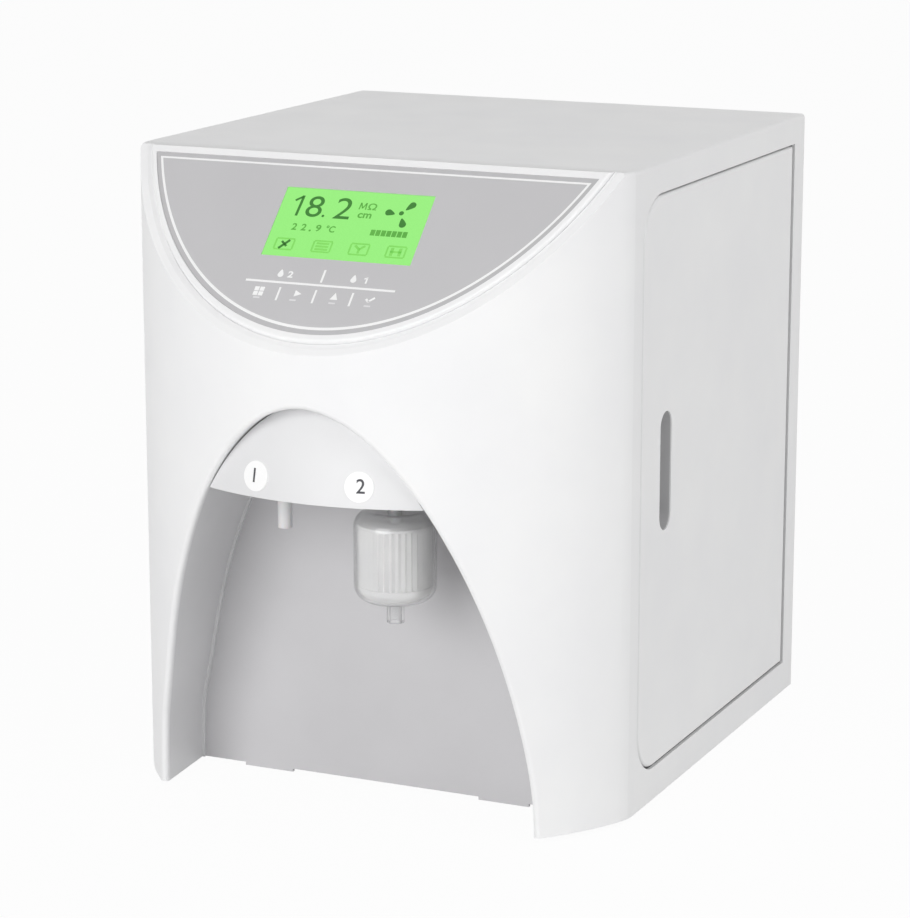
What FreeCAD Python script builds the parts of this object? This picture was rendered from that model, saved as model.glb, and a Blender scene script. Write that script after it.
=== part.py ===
import FreeCAD, Part
import math
import os

# Bench-top ultrapure water system.  Millimetres.  The pieces are drawn in the cabinet's frame:
# X across, Y back from the flat plane where the cabinet meets its bowed front cover, Z up from
# the cabinet's lower edge.  save() moves them so that the origin is the middle of the footprint.

V = FreeCAD.Vector

# ---------------------------------------------------------------- driving dimensions
# Cabinet
WIDTH = 360.0
CABINET_DEPTH = 334.0
CABINET_HEIGHT = 432.0
FRONT_BULGE = 120.0
EDGE_ROUND = 40.0
TOP_ROUND = 3.0
SHEET = 2.5
SHELL_FLANGE = 12.0
FIT_GAP = 0.2
BASE_LIFT = 4.0
BASE_SHEET = 2.0

# Feet
FOOT_RADIUS = 11.0
FOOT_HEIGHT = 7.0
FOOT_CHAMFER = 1.5
FOOT_INSET = 36.0

# Front cover and its dispensing bay
COVER_WALL = 3.0
FACE_WALL = 4.6
LINER_WALL = 2.5
BAY_HALF_WIDTH = 131.0
BAY_HEIGHT = 285.0
BAY_REAR_HALF_WIDTH = 141.3
BAY_REAR_HEIGHT = 292.0
ARCH_POWER = 1.73
ARCH_ROOT = 1.96
ARCH_STEPS = 7
ARCH_RIM = 2.6
ARCH_LIP_ROUND = 2.8
LINER_BEAD = 2.0
LINER_BEAD_DEPTH = 2.5
POST_RADIUS = 5.0
POST_LOW = 34.5

# Lower tabs of the bulkhead
TAB_WIDTH = 37.0
TAB_SPREAD = 89.2
TAB_DROP = 2.2

# Slanted control face
FACE_LEAN = 45.0
FACE_SETBACK = 8.5
POCKET_DEPTH = 2.0
POCKET_GAP = 0.3
COVE_DEPTH = 1.2
COVE_WIDTH = 3.0
BEZEL_RADIUS = 185.5
BEZEL_CENTRE = 72.4
BEZEL_THICKNESS = 4.0
BEZEL_LIP = 3.5
BEZEL_EDGE_ROUND = 1.5
BEZEL_TOP_STRIP = 7.2
OVERLAY_THICKNESS = 0.6
OVERLAY_SUNK = 0.5
SCREEN_WIDTH = 106.4
SCREEN_HEIGHT = 55.0
SCREEN_DROP = 56.6
MODULE_BORDER_X = 16.0
MODULE_BORDER_Y = 12.0
MODULE_FRAME = 7.0
MODULE_BOARD = 1.6
KEY_COUNT = 4
KEY_PITCH = 26.4
KEY_SHIFT = -4.8
DOME_RADIUS = 5.0
DOME_THICKNESS = 0.4
DOME_WELL = 0.7

# Outlet hood
HOOD_BOTTOM = 223.0
HOOD_WALL = 2.5
HOOD_RECESS = 3.5
HOOD_SETBACK = 20.0
HOOD_BULGE = 2.9
HOOD_CLEARANCE = 0.8
LABEL_RADIUS = 9.7
LABEL_SPACING = 76.0
LABEL_RISE = 13.7
LABEL_THICKNESS = 0.5

# Outlets and final filter
OUTLET_SPACING = 80.4
OUTLET_Y = -65.0
NOZZLE_RADIUS = 4.8
NOZZLE_BORE = 2.4
NOZZLE_BOTTOM = 191.8
FLANGE_RADIUS = 9.0
FLANGE_THICKNESS = 3.0
BARB_RADIUS = 3.6
BARB_LENGTH = 16.0
SPIGOT_RADIUS = 5.3
SPIGOT_END_RADIUS = 3.7
SPIGOT_END_LENGTH = 11.0
SPIGOT_DROP = 7.0
RUNNING_GAP = 0.05
FILTER_RADIUS = 27.3
FILTER_TOP = 212.0
FILTER_BOTTOM = 151.4
FILTER_ROUND = 11.0
FILTER_WALL = 1.6
FILTER_STUB_RADIUS = 5.8
FILTER_STUB_BOTTOM = 136.5
CORE_GAP = 1.1
FILTER_PLEATS = 36
PLEAT_DEPTH = 2.4

# Side door
DOOR_BOTTOM = 24.0
DOOR_TOP_MARGIN = 21.0
DOOR_FRONT = 14.0
DOOR_REAR_MARGIN = 24.5
DOOR_CORNER = 30.0
DOOR_SKIN = 2.0
DOOR_DEPTH = 9.0
DOOR_GAP = 1.5
HINGE_SIDE_GAP = 4.0
DOOR_EDGE_ROUND = 2.5
HINGE_INSET = 5.0
FRAME_WALL = 3.0
FRAME_DEPTH = 14.0
STOP_WIDTH = 8.0
STOP_THICKNESS = 2.0
PULL_WIDTH = 20.8
PULL_HEIGHT = 81.0
PULL_BOTTOM = 184.5
PULL_FRONT = 48.4
PULL_DEPTH = 13.0
PULL_WALL = 1.5
PIN_RADIUS = 1.5
PIN_HEAD_RADIUS = 2.3
PIN_HEAD = 1.5
PIN_REACH = 9.0
MAGNET_LENGTH = 24.0
MAGNET_WIDTH = 4.4
MAGNET_GAP = 0.4
STRIKER_THICKNESS = 1.5

# Cartridges and their manifold
CARTRIDGE_COUNT = 4
CARTRIDGE_PITCH = 68.0
CARTRIDGE_RADIUS = 30.0
CARTRIDGE_BOTTOM = 58.0
CARTRIDGE_HEADROOM = 88.0
CARTRIDGE_SHOULDER = 10.0
CARTRIDGE_DOOR_GAP = 5.3
NECK_RADIUS = 17.0
NECK_LENGTH = 26.0
LUG_RADIUS = 20.0
LUG_WIDTH = 14.0
LUG_THICKNESS = 3.0
LIP_THICKNESS = 4.0
SOCKET_RADIUS = 25.0
SOCKET_GAP = 6.0
MANIFOLD_THICKNESS = 20.0
GRIP_RIBS = 12
GRIP_HEIGHT = 34.0
RIB_WIDTH = 3.0
RIB_HEIGHT = 1.2
CLIP_HEIGHT = 118.0
CLIP_THICKNESS = 2.0
CLIP_WIDTH = 14.0
CLIP_GAP = 0.3
SERVICE_WALL_GAP = 7.0
SERVICE_WALL_HEADROOM = 24.0
SERVICE_SHEET = 2.0
SERVICE_LIFT = 10.0
SERVICE_FOOT = 14.0
SERVICE_FOOT_INSET = 20.0
NIPPLE_RADIUS = 4.5
NIPPLE_LENGTH = 16.0

# Pump
PUMP_WALL_GAP = 59.0
MOTOR_RADIUS = 31.0
MOTOR_LENGTH = 96.0
MOTOR_FRONT = 66.0
PUMP_HEAD_RADIUS = 37.0
PUMP_HEAD_LENGTH = 44.0
PUMP_PLATE = 2.5
PUMP_PLATE_WIDTH = 96.0
PUMP_PORT_SPREAD = 20.0
SADDLE_WIDTH = 44.0
SADDLE_LENGTH = 20.0
SADDLE_INSET = 30.0
MOUNT_INSET = 14.0
PUMP_MOUNT_RADIUS = 8.0
PUMP_MOUNT_HEIGHT = 12.0

# Ultraviolet reactor
UV_RADIUS = 25.0
UV_BOTTOM = 84.0
UV_HEADROOM = 98.0
UV_CAP = 14.0
UV_WALL_GAP = 8.0
UV_CLIP_INSET = 60.0
UV_PORT_INSET = 24.0
UV_CAP_RIM = 2.0
UV_CAP_TAPER = 8.4

# Electrical pieces
SUPPLY_AISLE = 12.0
SUPPLY_LENGTH = 158.0
SUPPLY_HEIGHT = 50.0
SUPPLY_SIDE_GAP = 3.5
SUPPLY_Y = 60.0
SUPPLY_VENTS = 7
SUPPLY_VENT_INSET = 14.0
BOARD_WIDTH = 170.0
BOARD_HEIGHT = 96.0
BOARD_HEADROOM = 32.0
BOARD_HOLE_INSET = 6.0
BOARD_SHEET = 1.6
BOARD_BLOCKS = [(-70, 16, 36, 28, 15), (-20, 30, 32, 32, 4), (26, 8, 46, 10, 11)]
CAPACITOR_X = [30, 46, 62]
CAPACITOR_Z = 60.0
CAPACITOR_RADIUS = 5.0
CAPACITOR_LENGTH = 16.0
STANDOFF_LENGTH = 8.0
STANDOFF_RADIUS = 3.0

# Valves, switch and sensor on the service wall
VALVE_COUNT = 2
VALVE_Y = 46.0
VALVE_PITCH = 58.0
VALVE_DROP = 82.0
VALVE_BODY = 26.0
COIL_RADIUS = 14.0
COIL_LENGTH = 32.0
SWITCH_Y = 184.0
SWITCH_RADIUS = 12.0
SWITCH_LENGTH = 22.0
CELL_RADIUS = 7.0
CELL_LENGTH = 46.0
CELL_SPACING = 40.0
CELL_DROP = 60.0

# Rear panel, power inlet and ports
REAR_INSET = 0.5
REAR_SHEET = 2.0
VENT_ROWS = 9
VENT_PITCH = 11.0
VENT_LENGTH = 74.0
VENT_HEIGHT = 4.0
VENT_HEADROOM = 142.0
VENT_X = 66.0
INLET_SIDE_GAP = 39.5
INLET_Z = 96.0
INLET_WIDTH = 52.0
INLET_HEIGHT = 78.0
INLET_FLANGE = 2.5
INLET_DEPTH = 30.0
INLET_WALL = 3.0
SOCKET_WIDTH = 24.5
SOCKET_HEIGHT = 17.0
SOCKET_DEPTH = 17.0
SOCKET_CHAMFER = 4.0
BLADE_WIDTH = 4.0
BLADE_THICKNESS = 2.0
BLADE_LENGTH = 14.0
BLADE_SPACING = 7.0
BLADE_RISE = 2.0
ROCKER_LENGTH = 19.0
ROCKER_WIDTH = 13.0
ROCKER_TILT = 8.0
ROCKER_RISE = 3.2
ROCKER_DEPTH = 12.0
TRUNNION_RADIUS = 1.2
TRUNNION_LENGTH = 1.6
TRUNNION_SETBACK = 2.5
SOCKET_LEDGE = 4.0
DRAWER_LEDGE = 5.0
ROCKER_LEDGE = 6.0
DRAWER_WIDTH = 26.0
DRAWER_HEIGHT = 9.0
DRAWER_LENGTH = 20.0
DRAWER_FACE = 2.0
DRAWER_GAP = 0.3
DRAWER_WALL = 2.0
DRAWER_LIP = 1.0
PORT_COUNT = 3
PORT_PITCH = 40.0
PORT_SIDE_GAP = 24.0
PORT_Z = 74.0
PORT_RADIUS = 7.5
PORT_BORE = 3.28
PORT_BORE_DEPTH = 16.0
PORT_REACH = 18.0
PORT_INNER = 22.0
PORT_HEX = 20.0
PORT_NUT = 6.0

# Tubing and screws
TUBE_RADIUS = 3.2
TUBE_BEND = 11.0
TUBE_LEVEL = 262.0
TUBE_SPREAD = 14.0
FEED_LEVEL = 220.0
FEED_LEAD = 80.0
VALVE_LEAD = 24.0
SWITCH_LEAD = 22.0
SUCTION_RISE = 50.0
DELIVERY_RISE = 36.0
PRODUCT_LEAD = 60.0
PRODUCT_SIDE = 28.0
RETURN_SIDE = 52.0
SCREW_RADIUS = 1.5
SCREW_HEAD_RADIUS = 3.0
SCREW_HEAD = 1.8
SCREW_LENGTH = 8.0
REAR_SCREW_SHARES = [0.08, 0.5, 0.94]
BASE_SCREW_SHARES = [0.25, 0.5, 0.75]

# ---------------------------------------------------------------- sizes that follow
HALF = WIDTH / 2
BOW_RADIUS = (HALF ** 2 + FRONT_BULGE ** 2) / (2 * FRONT_BULGE)
BOW_CENTRE = BOW_RADIUS - FRONT_BULGE
LEAN = math.radians(FACE_LEAN)
BASE_TOP = BASE_LIFT + BASE_SHEET
REAR_FACE = CABINET_DEPTH - REAR_INSET
REAR_INNER = REAR_FACE - REAR_SHEET
INNER_HALF = HALF - SHEET
HOOD_FLOOR = HOOD_BOTTOM + HOOD_WALL
LABEL_HEIGHT = HOOD_BOTTOM + LABEL_RISE
DOOR_TOP = CABINET_HEIGHT - DOOR_TOP_MARGIN
DOOR_REAR = CABINET_DEPTH - DOOR_REAR_MARGIN
BEZEL_DROP = (BEZEL_CENTRE + FACE_SETBACK) / math.sin(LEAN)
FILM_FOOT = (BEZEL_RADIUS - BEZEL_LIP) / math.sin(LEAN) - BEZEL_DROP
KEY_DROP = (SCREEN_DROP + SCREEN_HEIGHT / 2 + FILM_FOOT) / 2
HINGE_X = HALF - HINGE_INSET
HINGE_Y = DOOR_REAR - HINGE_INSET
CARTRIDGE_TOP = CABINET_HEIGHT - CARTRIDGE_HEADROOM
CARTRIDGE_X = HALF - PULL_DEPTH - PULL_WALL - CARTRIDGE_DOOR_GAP - RIB_HEIGHT - CARTRIDGE_RADIUS
SERVICE_WALL_X = CARTRIDGE_X - CARTRIDGE_RADIUS - SERVICE_WALL_GAP
SERVICE_WALL_RIGHT = SERVICE_WALL_X + SERVICE_SHEET
SUPPLY_X = -INNER_HALF + SHELL_FLANGE + SUPPLY_SIDE_GAP
BOARD_BOTTOM = CABINET_HEIGHT - BOARD_HEADROOM - BOARD_HEIGHT
VENT_BOTTOM = CABINET_HEIGHT - VENT_HEADROOM
VALVE_Z = CARTRIDGE_TOP - VALVE_DROP
UV_LENGTH = CABINET_HEIGHT - UV_HEADROOM - UV_BOTTOM
INLET_X = -INNER_HALF + INLET_SIDE_GAP + INLET_WIDTH / 2
PUMP_X = SERVICE_WALL_X - PUMP_WALL_GAP - PUMP_HEAD_RADIUS
SUPPLY_RIGHT = PUMP_X - PUMP_PLATE_WIDTH / 2 - SUPPLY_AISLE
PORT_X = SERVICE_WALL_X - PORT_SIDE_GAP - (PORT_COUNT - 1) * PORT_PITCH
MANIFOLD_BOTTOM = CARTRIDGE_TOP + NECK_LENGTH + RIB_HEIGHT
CARTRIDGE_ROW = [
    (DOOR_FRONT + DOOR_REAR) / 2 + (i - (CARTRIDGE_COUNT - 1) / 2) * CARTRIDGE_PITCH
    for i in range(CARTRIDGE_COUNT)
]
TO_ORIGIN = V(0, (FRONT_BULGE - CABINET_DEPTH - PORT_REACH) / 2, FOOT_HEIGHT - BASE_LIFT)
FAR = 600.0


# ---------------------------------------------------------------- shared operations
def box(x, y, z):
    """Block between three pairs of coordinates."""
    return Part.makeBox(x[1] - x[0], y[1] - y[0], z[1] - z[0], V(x[0], y[0], z[0]))


def rod(radius, start, end):
    """Round bar from one point to another."""
    start, end = V(*start), V(*end)
    return Part.makeCylinder(radius, (end - start).Length, start, end - start)


def hexagon(across, start, end):
    """Hexagonal bar along Y."""
    radius = across / math.sqrt(3)
    corners = [V(radius * math.cos(math.radians(60 * i)), 0, radius * math.sin(math.radians(60 * i)))
               for i in range(7)]
    bar = Part.Face(Part.makePolygon(corners)).extrude(V(0, end[1] - start[1], 0))
    bar.translate(V(*start))
    return bar


def join(shapes):
    """One solid from pieces that meet."""
    whole = shapes[0].fuse(shapes[1:])
    return whole.removeSplitter()


def turned(profile, x, y):
    """Solid of revolution about a vertical axis; the profile holds points and mid-arc triples."""
    edges = []
    for start, end in zip(profile, profile[1:] + profile[:1]):
        a, b = V(start[0], 0, start[1]), V(end[0], 0, end[1])
        if (b - a).Length < 1e-6:
            continue
        if len(start) == 4:
            edges.append(Part.Arc(a, V(start[2], 0, start[3]), b).toShape())
        else:
            edges.append(Part.makeLine(a, b))
    solid = Part.Face(Part.Wire(edges)).revolve(V(0, 0, 0), V(0, 0, 1), 360)
    solid.translate(V(x, y, 0))
    return solid


def quarter(centre_r, centre_z, radius, angle):
    """Middle point of a rounding, given its centre and the direction of that middle."""
    turn = math.radians(angle)
    return centre_r + radius * math.cos(turn), centre_z + radius * math.sin(turn)


def round_edges(shape, radius, wanted):
    """Fillet the edges that a test picks out."""
    return shape.makeFillet(radius, [edge for edge in shape.Edges if wanted(edge)])


def save(node, shape):
    """Write one sub-part, moved to the part's own origin."""
    moved = shape.copy()
    moved.translate(TO_ORIGIN)
    moved.exportStep("parts/" + node + ".step")


# ---------------------------------------------------------------- outer form
def bow_y(x, inset):
    """Y of the bowed front at a given X, on the surface a given distance inside it."""
    return BOW_CENTRE - math.sqrt((BOW_RADIUS - inset) ** 2 - x ** 2)


def front_prism(inset, back, low, high):
    """Upright block behind the bowed front, inset all round, back to a given Y."""
    half = HALF - inset
    side = bow_y(half, inset)
    left, right = V(-half, side, low), V(half, side, low)
    bow = Part.Arc(left, V(0, inset - FRONT_BULGE, low), right).toShape()
    walls = Part.makePolygon([right, V(half, back, low), V(-half, back, low), left])
    return Part.Face(Part.Wire([bow] + walls.Edges)).extrude(V(0, 0, high - low))


def envelope():
    """Outside of cabinet and cover together, with its rounded corners and upper edges."""
    body = front_prism(0, CABINET_DEPTH, 0, CABINET_HEIGHT)

    def corner(edge):
        middle = edge.CenterOfMass
        return abs(abs(middle.x) - HALF) < 0.01 and abs(middle.y) < 0.01

    def upper(edge):
        middle = edge.CenterOfMass
        return abs(middle.z - CABINET_HEIGHT) < 0.01 and middle.y < CABINET_DEPTH - 1
    body = round_edges(body, EDGE_ROUND, corner)
    return round_edges(body, TOP_ROUND, upper)


def face_point(down, out):
    """Y and Z of a point on the slanted face: distance down the slope, and outwards from it."""
    y = -FACE_SETBACK - down * math.sin(LEAN) - out * math.cos(LEAN)
    z = CABINET_HEIGHT - down * math.cos(LEAN) + out * math.sin(LEAN)
    return y, z


def above_face(out):
    """Everything in front of the slanted plane shifted outwards by a distance."""
    corners = [face_point(down, rise) for down, rise in
               ((-FAR, out), (FAR, out), (FAR, out + FAR), (-FAR, out + FAR), (-FAR, out))]
    face = Part.Face(Part.makePolygon([V(-HALF - 20, y, z) for y, z in corners]))
    return face.extrude(V(WIDTH + 40, 0, 0))


def on_face(shape):
    """Place a shape drawn flat (X across, Y up the slope, Z outwards) on the slanted face."""
    placed = shape.copy()
    placed.rotate(V(0, 0, 0), V(1, 0, 0), 90 - FACE_LEAN)
    placed.translate(V(0, -FACE_SETBACK, CABINET_HEIGHT))
    return placed


def d_wire(radius, top, level):
    """D-shaped outline drawn flat at a level: an elliptical foot under a straight top edge."""
    long_radius = radius / math.sin(LEAN)
    centre = BEZEL_DROP
    side = radius * math.sqrt(1 - ((centre + top) / long_radius) ** 2)
    curve = Part.Ellipse(V(0, centre - long_radius, level), V(radius, centre, level), V(0, centre, level))
    first = curve.parameter(V(-side, -top, level))
    last = curve.parameter(V(side, -top, level))
    if last < first:
        last += 2 * math.pi
    foot = Part.ArcOfEllipse(curve, first, last).toShape()
    lid = Part.makeLine(foot.Vertexes[-1].Point, foot.Vertexes[0].Point)
    return Part.Wire([foot, lid])


def d_plate(radius, top, low, high):
    """Flat D-shaped plate between two levels, drawn flat."""
    return Part.Face(d_wire(radius, top, low)).extrude(V(0, 0, high - low))


# ---------------------------------------------------------------- dispensing bay
def arch_wire(y, grow):
    """Outline of the bay at a given Y, grown by a wall; it drops below the floor line."""
    share = (y + FRONT_BULGE) / FRONT_BULGE
    half = BAY_HALF_WIDTH + (BAY_REAR_HALF_WIDTH - BAY_HALF_WIDTH) * share + grow
    height = BAY_HEIGHT + (BAY_REAR_HEIGHT - BAY_HEIGHT) * share + grow
    right = []
    for i in range(ARCH_STEPS + 1):
        z = height * math.sin(math.pi / 2 * i / ARCH_STEPS)
        x = half * (1 - (z / height) ** ARCH_POWER) ** (1 / ARCH_ROOT)
        right.append(V(x, y, z))
    points = right + [V(-p.x, y, p.z) for p in reversed(right[:-1])]
    curve = Part.BSplineCurve()
    curve.interpolate(Points=points, InitialTangent=V(0, 0, 1), FinalTangent=V(0, 0, -1))
    drop = [points[-1], V(-half, y, -30), V(half, y, -30), points[0]]
    return Part.Wire([curve.toShape()] + Part.makePolygon(drop).Edges)


def bay_solid(grow, front, back):
    """The drafted bay between two Y planes, grown by a wall."""
    return Part.makeLoft([arch_wire(front, grow), arch_wire(back, grow)], True, True)


# ---------------------------------------------------------------- cabinet
def door_outline(grow, low, high, behind=0):
    """Door-shaped plate seen along X: round front corners, square rear corners."""
    front, rear = DOOR_FRONT - grow, DOOR_REAR + grow + behind
    bottom, top = DOOR_BOTTOM - grow, DOOR_TOP + grow
    radius = DOOR_CORNER + grow
    plate = box((low, high), (front, rear), (bottom, top))

    def front_corner(edge):
        middle = edge.CenterOfMass
        return abs(edge.Length - (high - low)) < 1e-6 and abs(middle.y - front) < 1e-6
    return round_edges(plate, radius, front_corner)


def opening_outline(grow, low, high):
    """Outline of the door opening, grown by a wall; its gap is wider on the hinge side."""
    return door_outline(DOOR_GAP + grow, low, high, HINGE_SIDE_GAP - DOOR_GAP)


def round_top(shape, gap):
    """Round the two upper long edges of a shape that fits inside the shell's folds."""
    top = shape.BoundBox.ZMax

    def fold(edge):
        box_ = edge.BoundBox
        return box_.ZMin > top - 0.01 and box_.XLength < 0.01
    return round_edges(shape, max(TOP_ROUND - SHEET - gap, SHEET / 4), fold)


def cabinet_shell(outside):
    """Top and two sides as one folded cover, with rear and bottom flanges and the door opening."""
    shell = outside.common(box((-FAR, FAR), (0, FAR), (-1, FAR)))
    room = box((-INNER_HALF, INNER_HALF), (-1, FAR), (-1, CABINET_HEIGHT - SHEET))
    shell = shell.cut(round_top(room, 0))
    flanges = []
    for side in (-1, 1):
        outer, inner = side * INNER_HALF, side * (INNER_HALF - SHELL_FLANGE)
        span = (min(outer, inner), max(outer, inner))
        flanges.append(box(span, (REAR_INNER - SHEET, REAR_INNER), (BASE_TOP, CABINET_HEIGHT - SHEET)))
        flanges.append(box(span, (2 * SHEET, REAR_INNER), (BASE_TOP, BASE_TOP + SHEET)))
    shell = join([shell] + flanges)
    shell = shell.cut(opening_outline(0, INNER_HALF - 1, HALF + 1))
    for screw in rear_screw_places() + base_screw_places():
        shell = shell.cut(screw_hole(screw))
    return shell


def front_bulkhead():
    """Flat sheet closing the cabinet's front, with two lower tabs; its middle is the bay's back wall."""
    sheet = round_top(box((-INNER_HALF + FIT_GAP, INNER_HALF - FIT_GAP), (0, SHEET),
                          (0, CABINET_HEIGHT - SHEET - FIT_GAP)), FIT_GAP)
    tabs = [box((x - TAB_WIDTH / 2, x + TAB_WIDTH / 2), (0, SHEET), (-TAB_DROP, 0))
            for x in (-TAB_SPREAD, TAB_SPREAD)]
    sheet = join([sheet] + tabs)
    hose_hole = rod(OUTLET_SPACING / 3, (0, -1, HOOD_FLOOR + OUTLET_SPACING / 3),
                    (0, SHEET + 1, HOOD_FLOOR + OUTLET_SPACING / 3))
    sheet = sheet.cut(hose_hole)
    for x, z in cover_screw_places():
        sheet = sheet.cut(rod(SCREW_RADIUS, (x, -1, z), (x, SHEET + 1, z)))
    return sheet


def base_plate():
    """Floor sheet with an upturned rim front and back, lifted inside the skirt."""
    x = INNER_HALF - FIT_GAP
    y = (SHEET + FIT_GAP, REAR_INNER - SHEET - FIT_GAP)
    plate = box((-x, x), y, (BASE_LIFT, BASE_TOP))
    rim = 4 * BASE_SHEET
    inner = INNER_HALF - SHELL_FLANGE - 1
    plate = join([plate, box((-inner, inner), (y[0], y[0] + BASE_SHEET), (BASE_TOP, BASE_TOP + rim)),
                  box((-inner, inner), (y[1] - BASE_SHEET, y[1]), (BASE_TOP, BASE_TOP + rim))])
    for screw in base_screw_places():
        plate = plate.cut(screw_hole(screw))
    for x, y in foot_places():
        plate = plate.cut(rod(FOOT_RADIUS / 3, (x, y, 0), (x, y, BASE_TOP + 1)))
    return plate


def foot_places():
    """X and Y of the four feet."""
    x = HALF - FOOT_INSET
    return [(side * x, y) for side in (-1, 1) for y in (FOOT_INSET, CABINET_DEPTH - FOOT_INSET)]


def feet():
    """Four rubber feet, each plugged into the base plate."""
    solids = []
    for x, y in foot_places():
        low = BASE_LIFT - FOOT_HEIGHT
        edge = FOOT_RADIUS - FOOT_CHAMFER
        foot = turned([(0, low), (edge, low), (FOOT_RADIUS, low + FOOT_CHAMFER), (edge, BASE_LIFT),
                       (FOOT_RADIUS / 3, BASE_LIFT), (FOOT_RADIUS / 3, BASE_TOP), (0, BASE_TOP)], x, y)
        solids.append(foot)
    return Part.makeCompound(solids)


# ---------------------------------------------------------------- screws
def screw(place):
    """Pan-head screw: place is the head's seat, the direction into the work, the head's size."""
    seat, into = V(*place[0]), V(*place[1])
    head = Part.makeCylinder(SCREW_HEAD_RADIUS, SCREW_HEAD, seat - into * SCREW_HEAD, into)
    shank = Part.makeCylinder(SCREW_RADIUS, place[2], seat, into)
    return join([head, shank])


def screw_hole(place):
    """Hole that a screw's shank fills."""
    seat, into = V(*place[0]), V(*place[1])
    return Part.makeCylinder(SCREW_RADIUS, place[2] + 2, seat - into, into)


def screws(places):
    """Set of screws at the given places."""
    return Part.makeCompound([screw(place) for place in places])


def rear_screw_places():
    """Screws through the rear panel into the shell's flanges."""
    x = INNER_HALF - SHELL_FLANGE / 2
    rows = [CABINET_HEIGHT * share for share in REAR_SCREW_SHARES]
    depth = REAR_SHEET + SHEET
    return [((side * x, REAR_FACE, z), (0, -1, 0), depth) for side in (-1, 1) for z in rows]


def base_screw_places():
    """Screws from below through the base plate into the shell's lower flanges."""
    x = INNER_HALF - SHELL_FLANGE / 2
    rows = [CABINET_DEPTH * share for share in BASE_SCREW_SHARES]
    depth = BASE_SHEET + SHEET
    return [((side * x, y, BASE_LIFT), (0, 0, 1), depth) for side in (-1, 1) for y in rows]


def cover_screw_places():
    """X and Z of the screws that hold the front cover to the bulkhead."""
    x = (BAY_REAR_HALF_WIDTH + LINER_WALL + HALF - COVER_WALL) / 2
    high = CABINET_HEIGHT - SHEET - FACE_WALL - 3 * POST_RADIUS
    return [(side * x, z) for side in (-1, 1) for z in (POST_LOW, (POST_LOW + high) / 2, high)]


def hose(points):
    """Tube along straight runs with rounded bends at the corners between them."""
    points = [V(*point) for point in points]
    edges, start = [], points[0]
    for before, corner, after in zip(points, points[1:], points[2:]):
        into, out = (corner - before).normalize(), (after - corner).normalize()
        half_turn = into.getAngle(out) / 2
        reach = TUBE_BEND * math.tan(half_turn)
        inward = (out - into).normalize()
        middle = corner + inward * (TUBE_BEND / math.cos(half_turn) - TUBE_BEND)
        edges.append(Part.makeLine(start, corner - into * reach))
        start = corner + out * reach
        edges.append(Part.Arc(corner - into * reach, middle, start).toShape())
    edges.append(Part.makeLine(start, points[-1]))
    ring = Part.makeCircle(TUBE_RADIUS, points[0], points[1] - points[0])
    return Part.Wire(edges).makePipe(Part.Face(Part.Wire(ring)))


def cover_screws():
    """Screws through the bulkhead into the cover's posts."""
    depth = SHEET + SCREW_LENGTH
    return screws([((x, SHEET, z), (0, -1, 0), depth) for x, z in cover_screw_places()])


# ---------------------------------------------------------------- front cover
def cover_room(low, back, deeper=0):
    """Space behind the cover's skin and under its slanted face, as far back as a given Y."""
    room = front_prism(COVER_WALL + deeper, FRONT_BULGE, low, CABINET_HEIGHT - COVER_WALL)
    return room.cut(above_face(-FACE_WALL)).common(box((-HALF, HALF), (-FRONT_BULGE, back), (low, FAR)))


def bay_liner():
    """Drafted arch that lines the bay from the cover's rim to the bulkhead, with a bead at its rear."""
    liner = bay_solid(LINER_WALL, -FRONT_BULGE - 8, 0).common(cover_room(0, 0, ARCH_RIM))
    bead = box((-HALF, HALF), (-LINER_BEAD_DEPTH, 0), (0, HOOD_BOTTOM - FIT_GAP))
    bead = bead.cut(bay_solid(-LINER_BEAD, -FRONT_BULGE - 8, 8))
    return liner.cut(bay_solid(0, -FRONT_BULGE - 8, 8).cut(bead))


def cover_posts():
    """Six posts welded inside the cover, which the screws through the bulkhead bite into."""
    room = cover_room(0, 0)
    posts = []
    for x, z in cover_screw_places():
        post = rod(POST_RADIUS, (x, -FRONT_BULGE, z), (x, 0, z)).common(room)
        posts.append(post.cut(rod(SCREW_RADIUS, (x, -SCREW_LENGTH, z), (x, 1, z))))
    return Part.makeCompound(posts)


def front_cover(outside):
    """Bowed moulding: skin cut by an arch with a turned-in rim, and a slanted face with a pocket."""
    outer = outside.common(box((-FAR, FAR), (-FAR, 0), (-1, FAR))).cut(above_face(0))
    rim = bay_solid(LINER_WALL, -FRONT_BULGE - 8, 8).cut(cover_room(-FAR, FRONT_BULGE, ARCH_RIM))
    cover = outer.cut(cover_room(-COVER_WALL, FRONT_BULGE).cut(rim))
    cover = cover.cut(bay_solid(0, -FRONT_BULGE - 8, 8))
    cover = cover.cut(on_face(d_plate(BEZEL_RADIUS + POCKET_GAP, -40, -POCKET_DEPTH, FACE_WALL)))
    cover = cover.cut(on_face(pocket_cove()))
    cover = cover.cut(on_face(module_block(FIT_GAP, -FACE_WALL - 2, 1)))

    def arch_lip(edge):
        box_ = edge.BoundBox
        middle = edge.valueAt((edge.FirstParameter + edge.LastParameter) / 2)
        on_bow = abs(math.hypot(middle.x, middle.y - BOW_CENTRE) - BOW_RADIUS) < 0.05
        in_bay = box_.ZMax < BAY_REAR_HEIGHT and abs(middle.x) < BAY_REAR_HALF_WIDTH
        return on_bow and in_bay and box_.ZLength > 50
    return round_edges(cover, ARCH_LIP_ROUND, arch_lip)


def pocket_cove():
    """Shallow sloped border that runs down to the pocket all round, drawn flat."""
    foot = BEZEL_RADIUS + POCKET_GAP
    flare = COVE_WIDTH / COVE_DEPTH
    outlines = [d_wire(foot, -40, -COVE_DEPTH), d_wire(foot + COVE_WIDTH + flare, -40, 1)]
    return Part.makeLoft(outlines, True, True)


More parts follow.
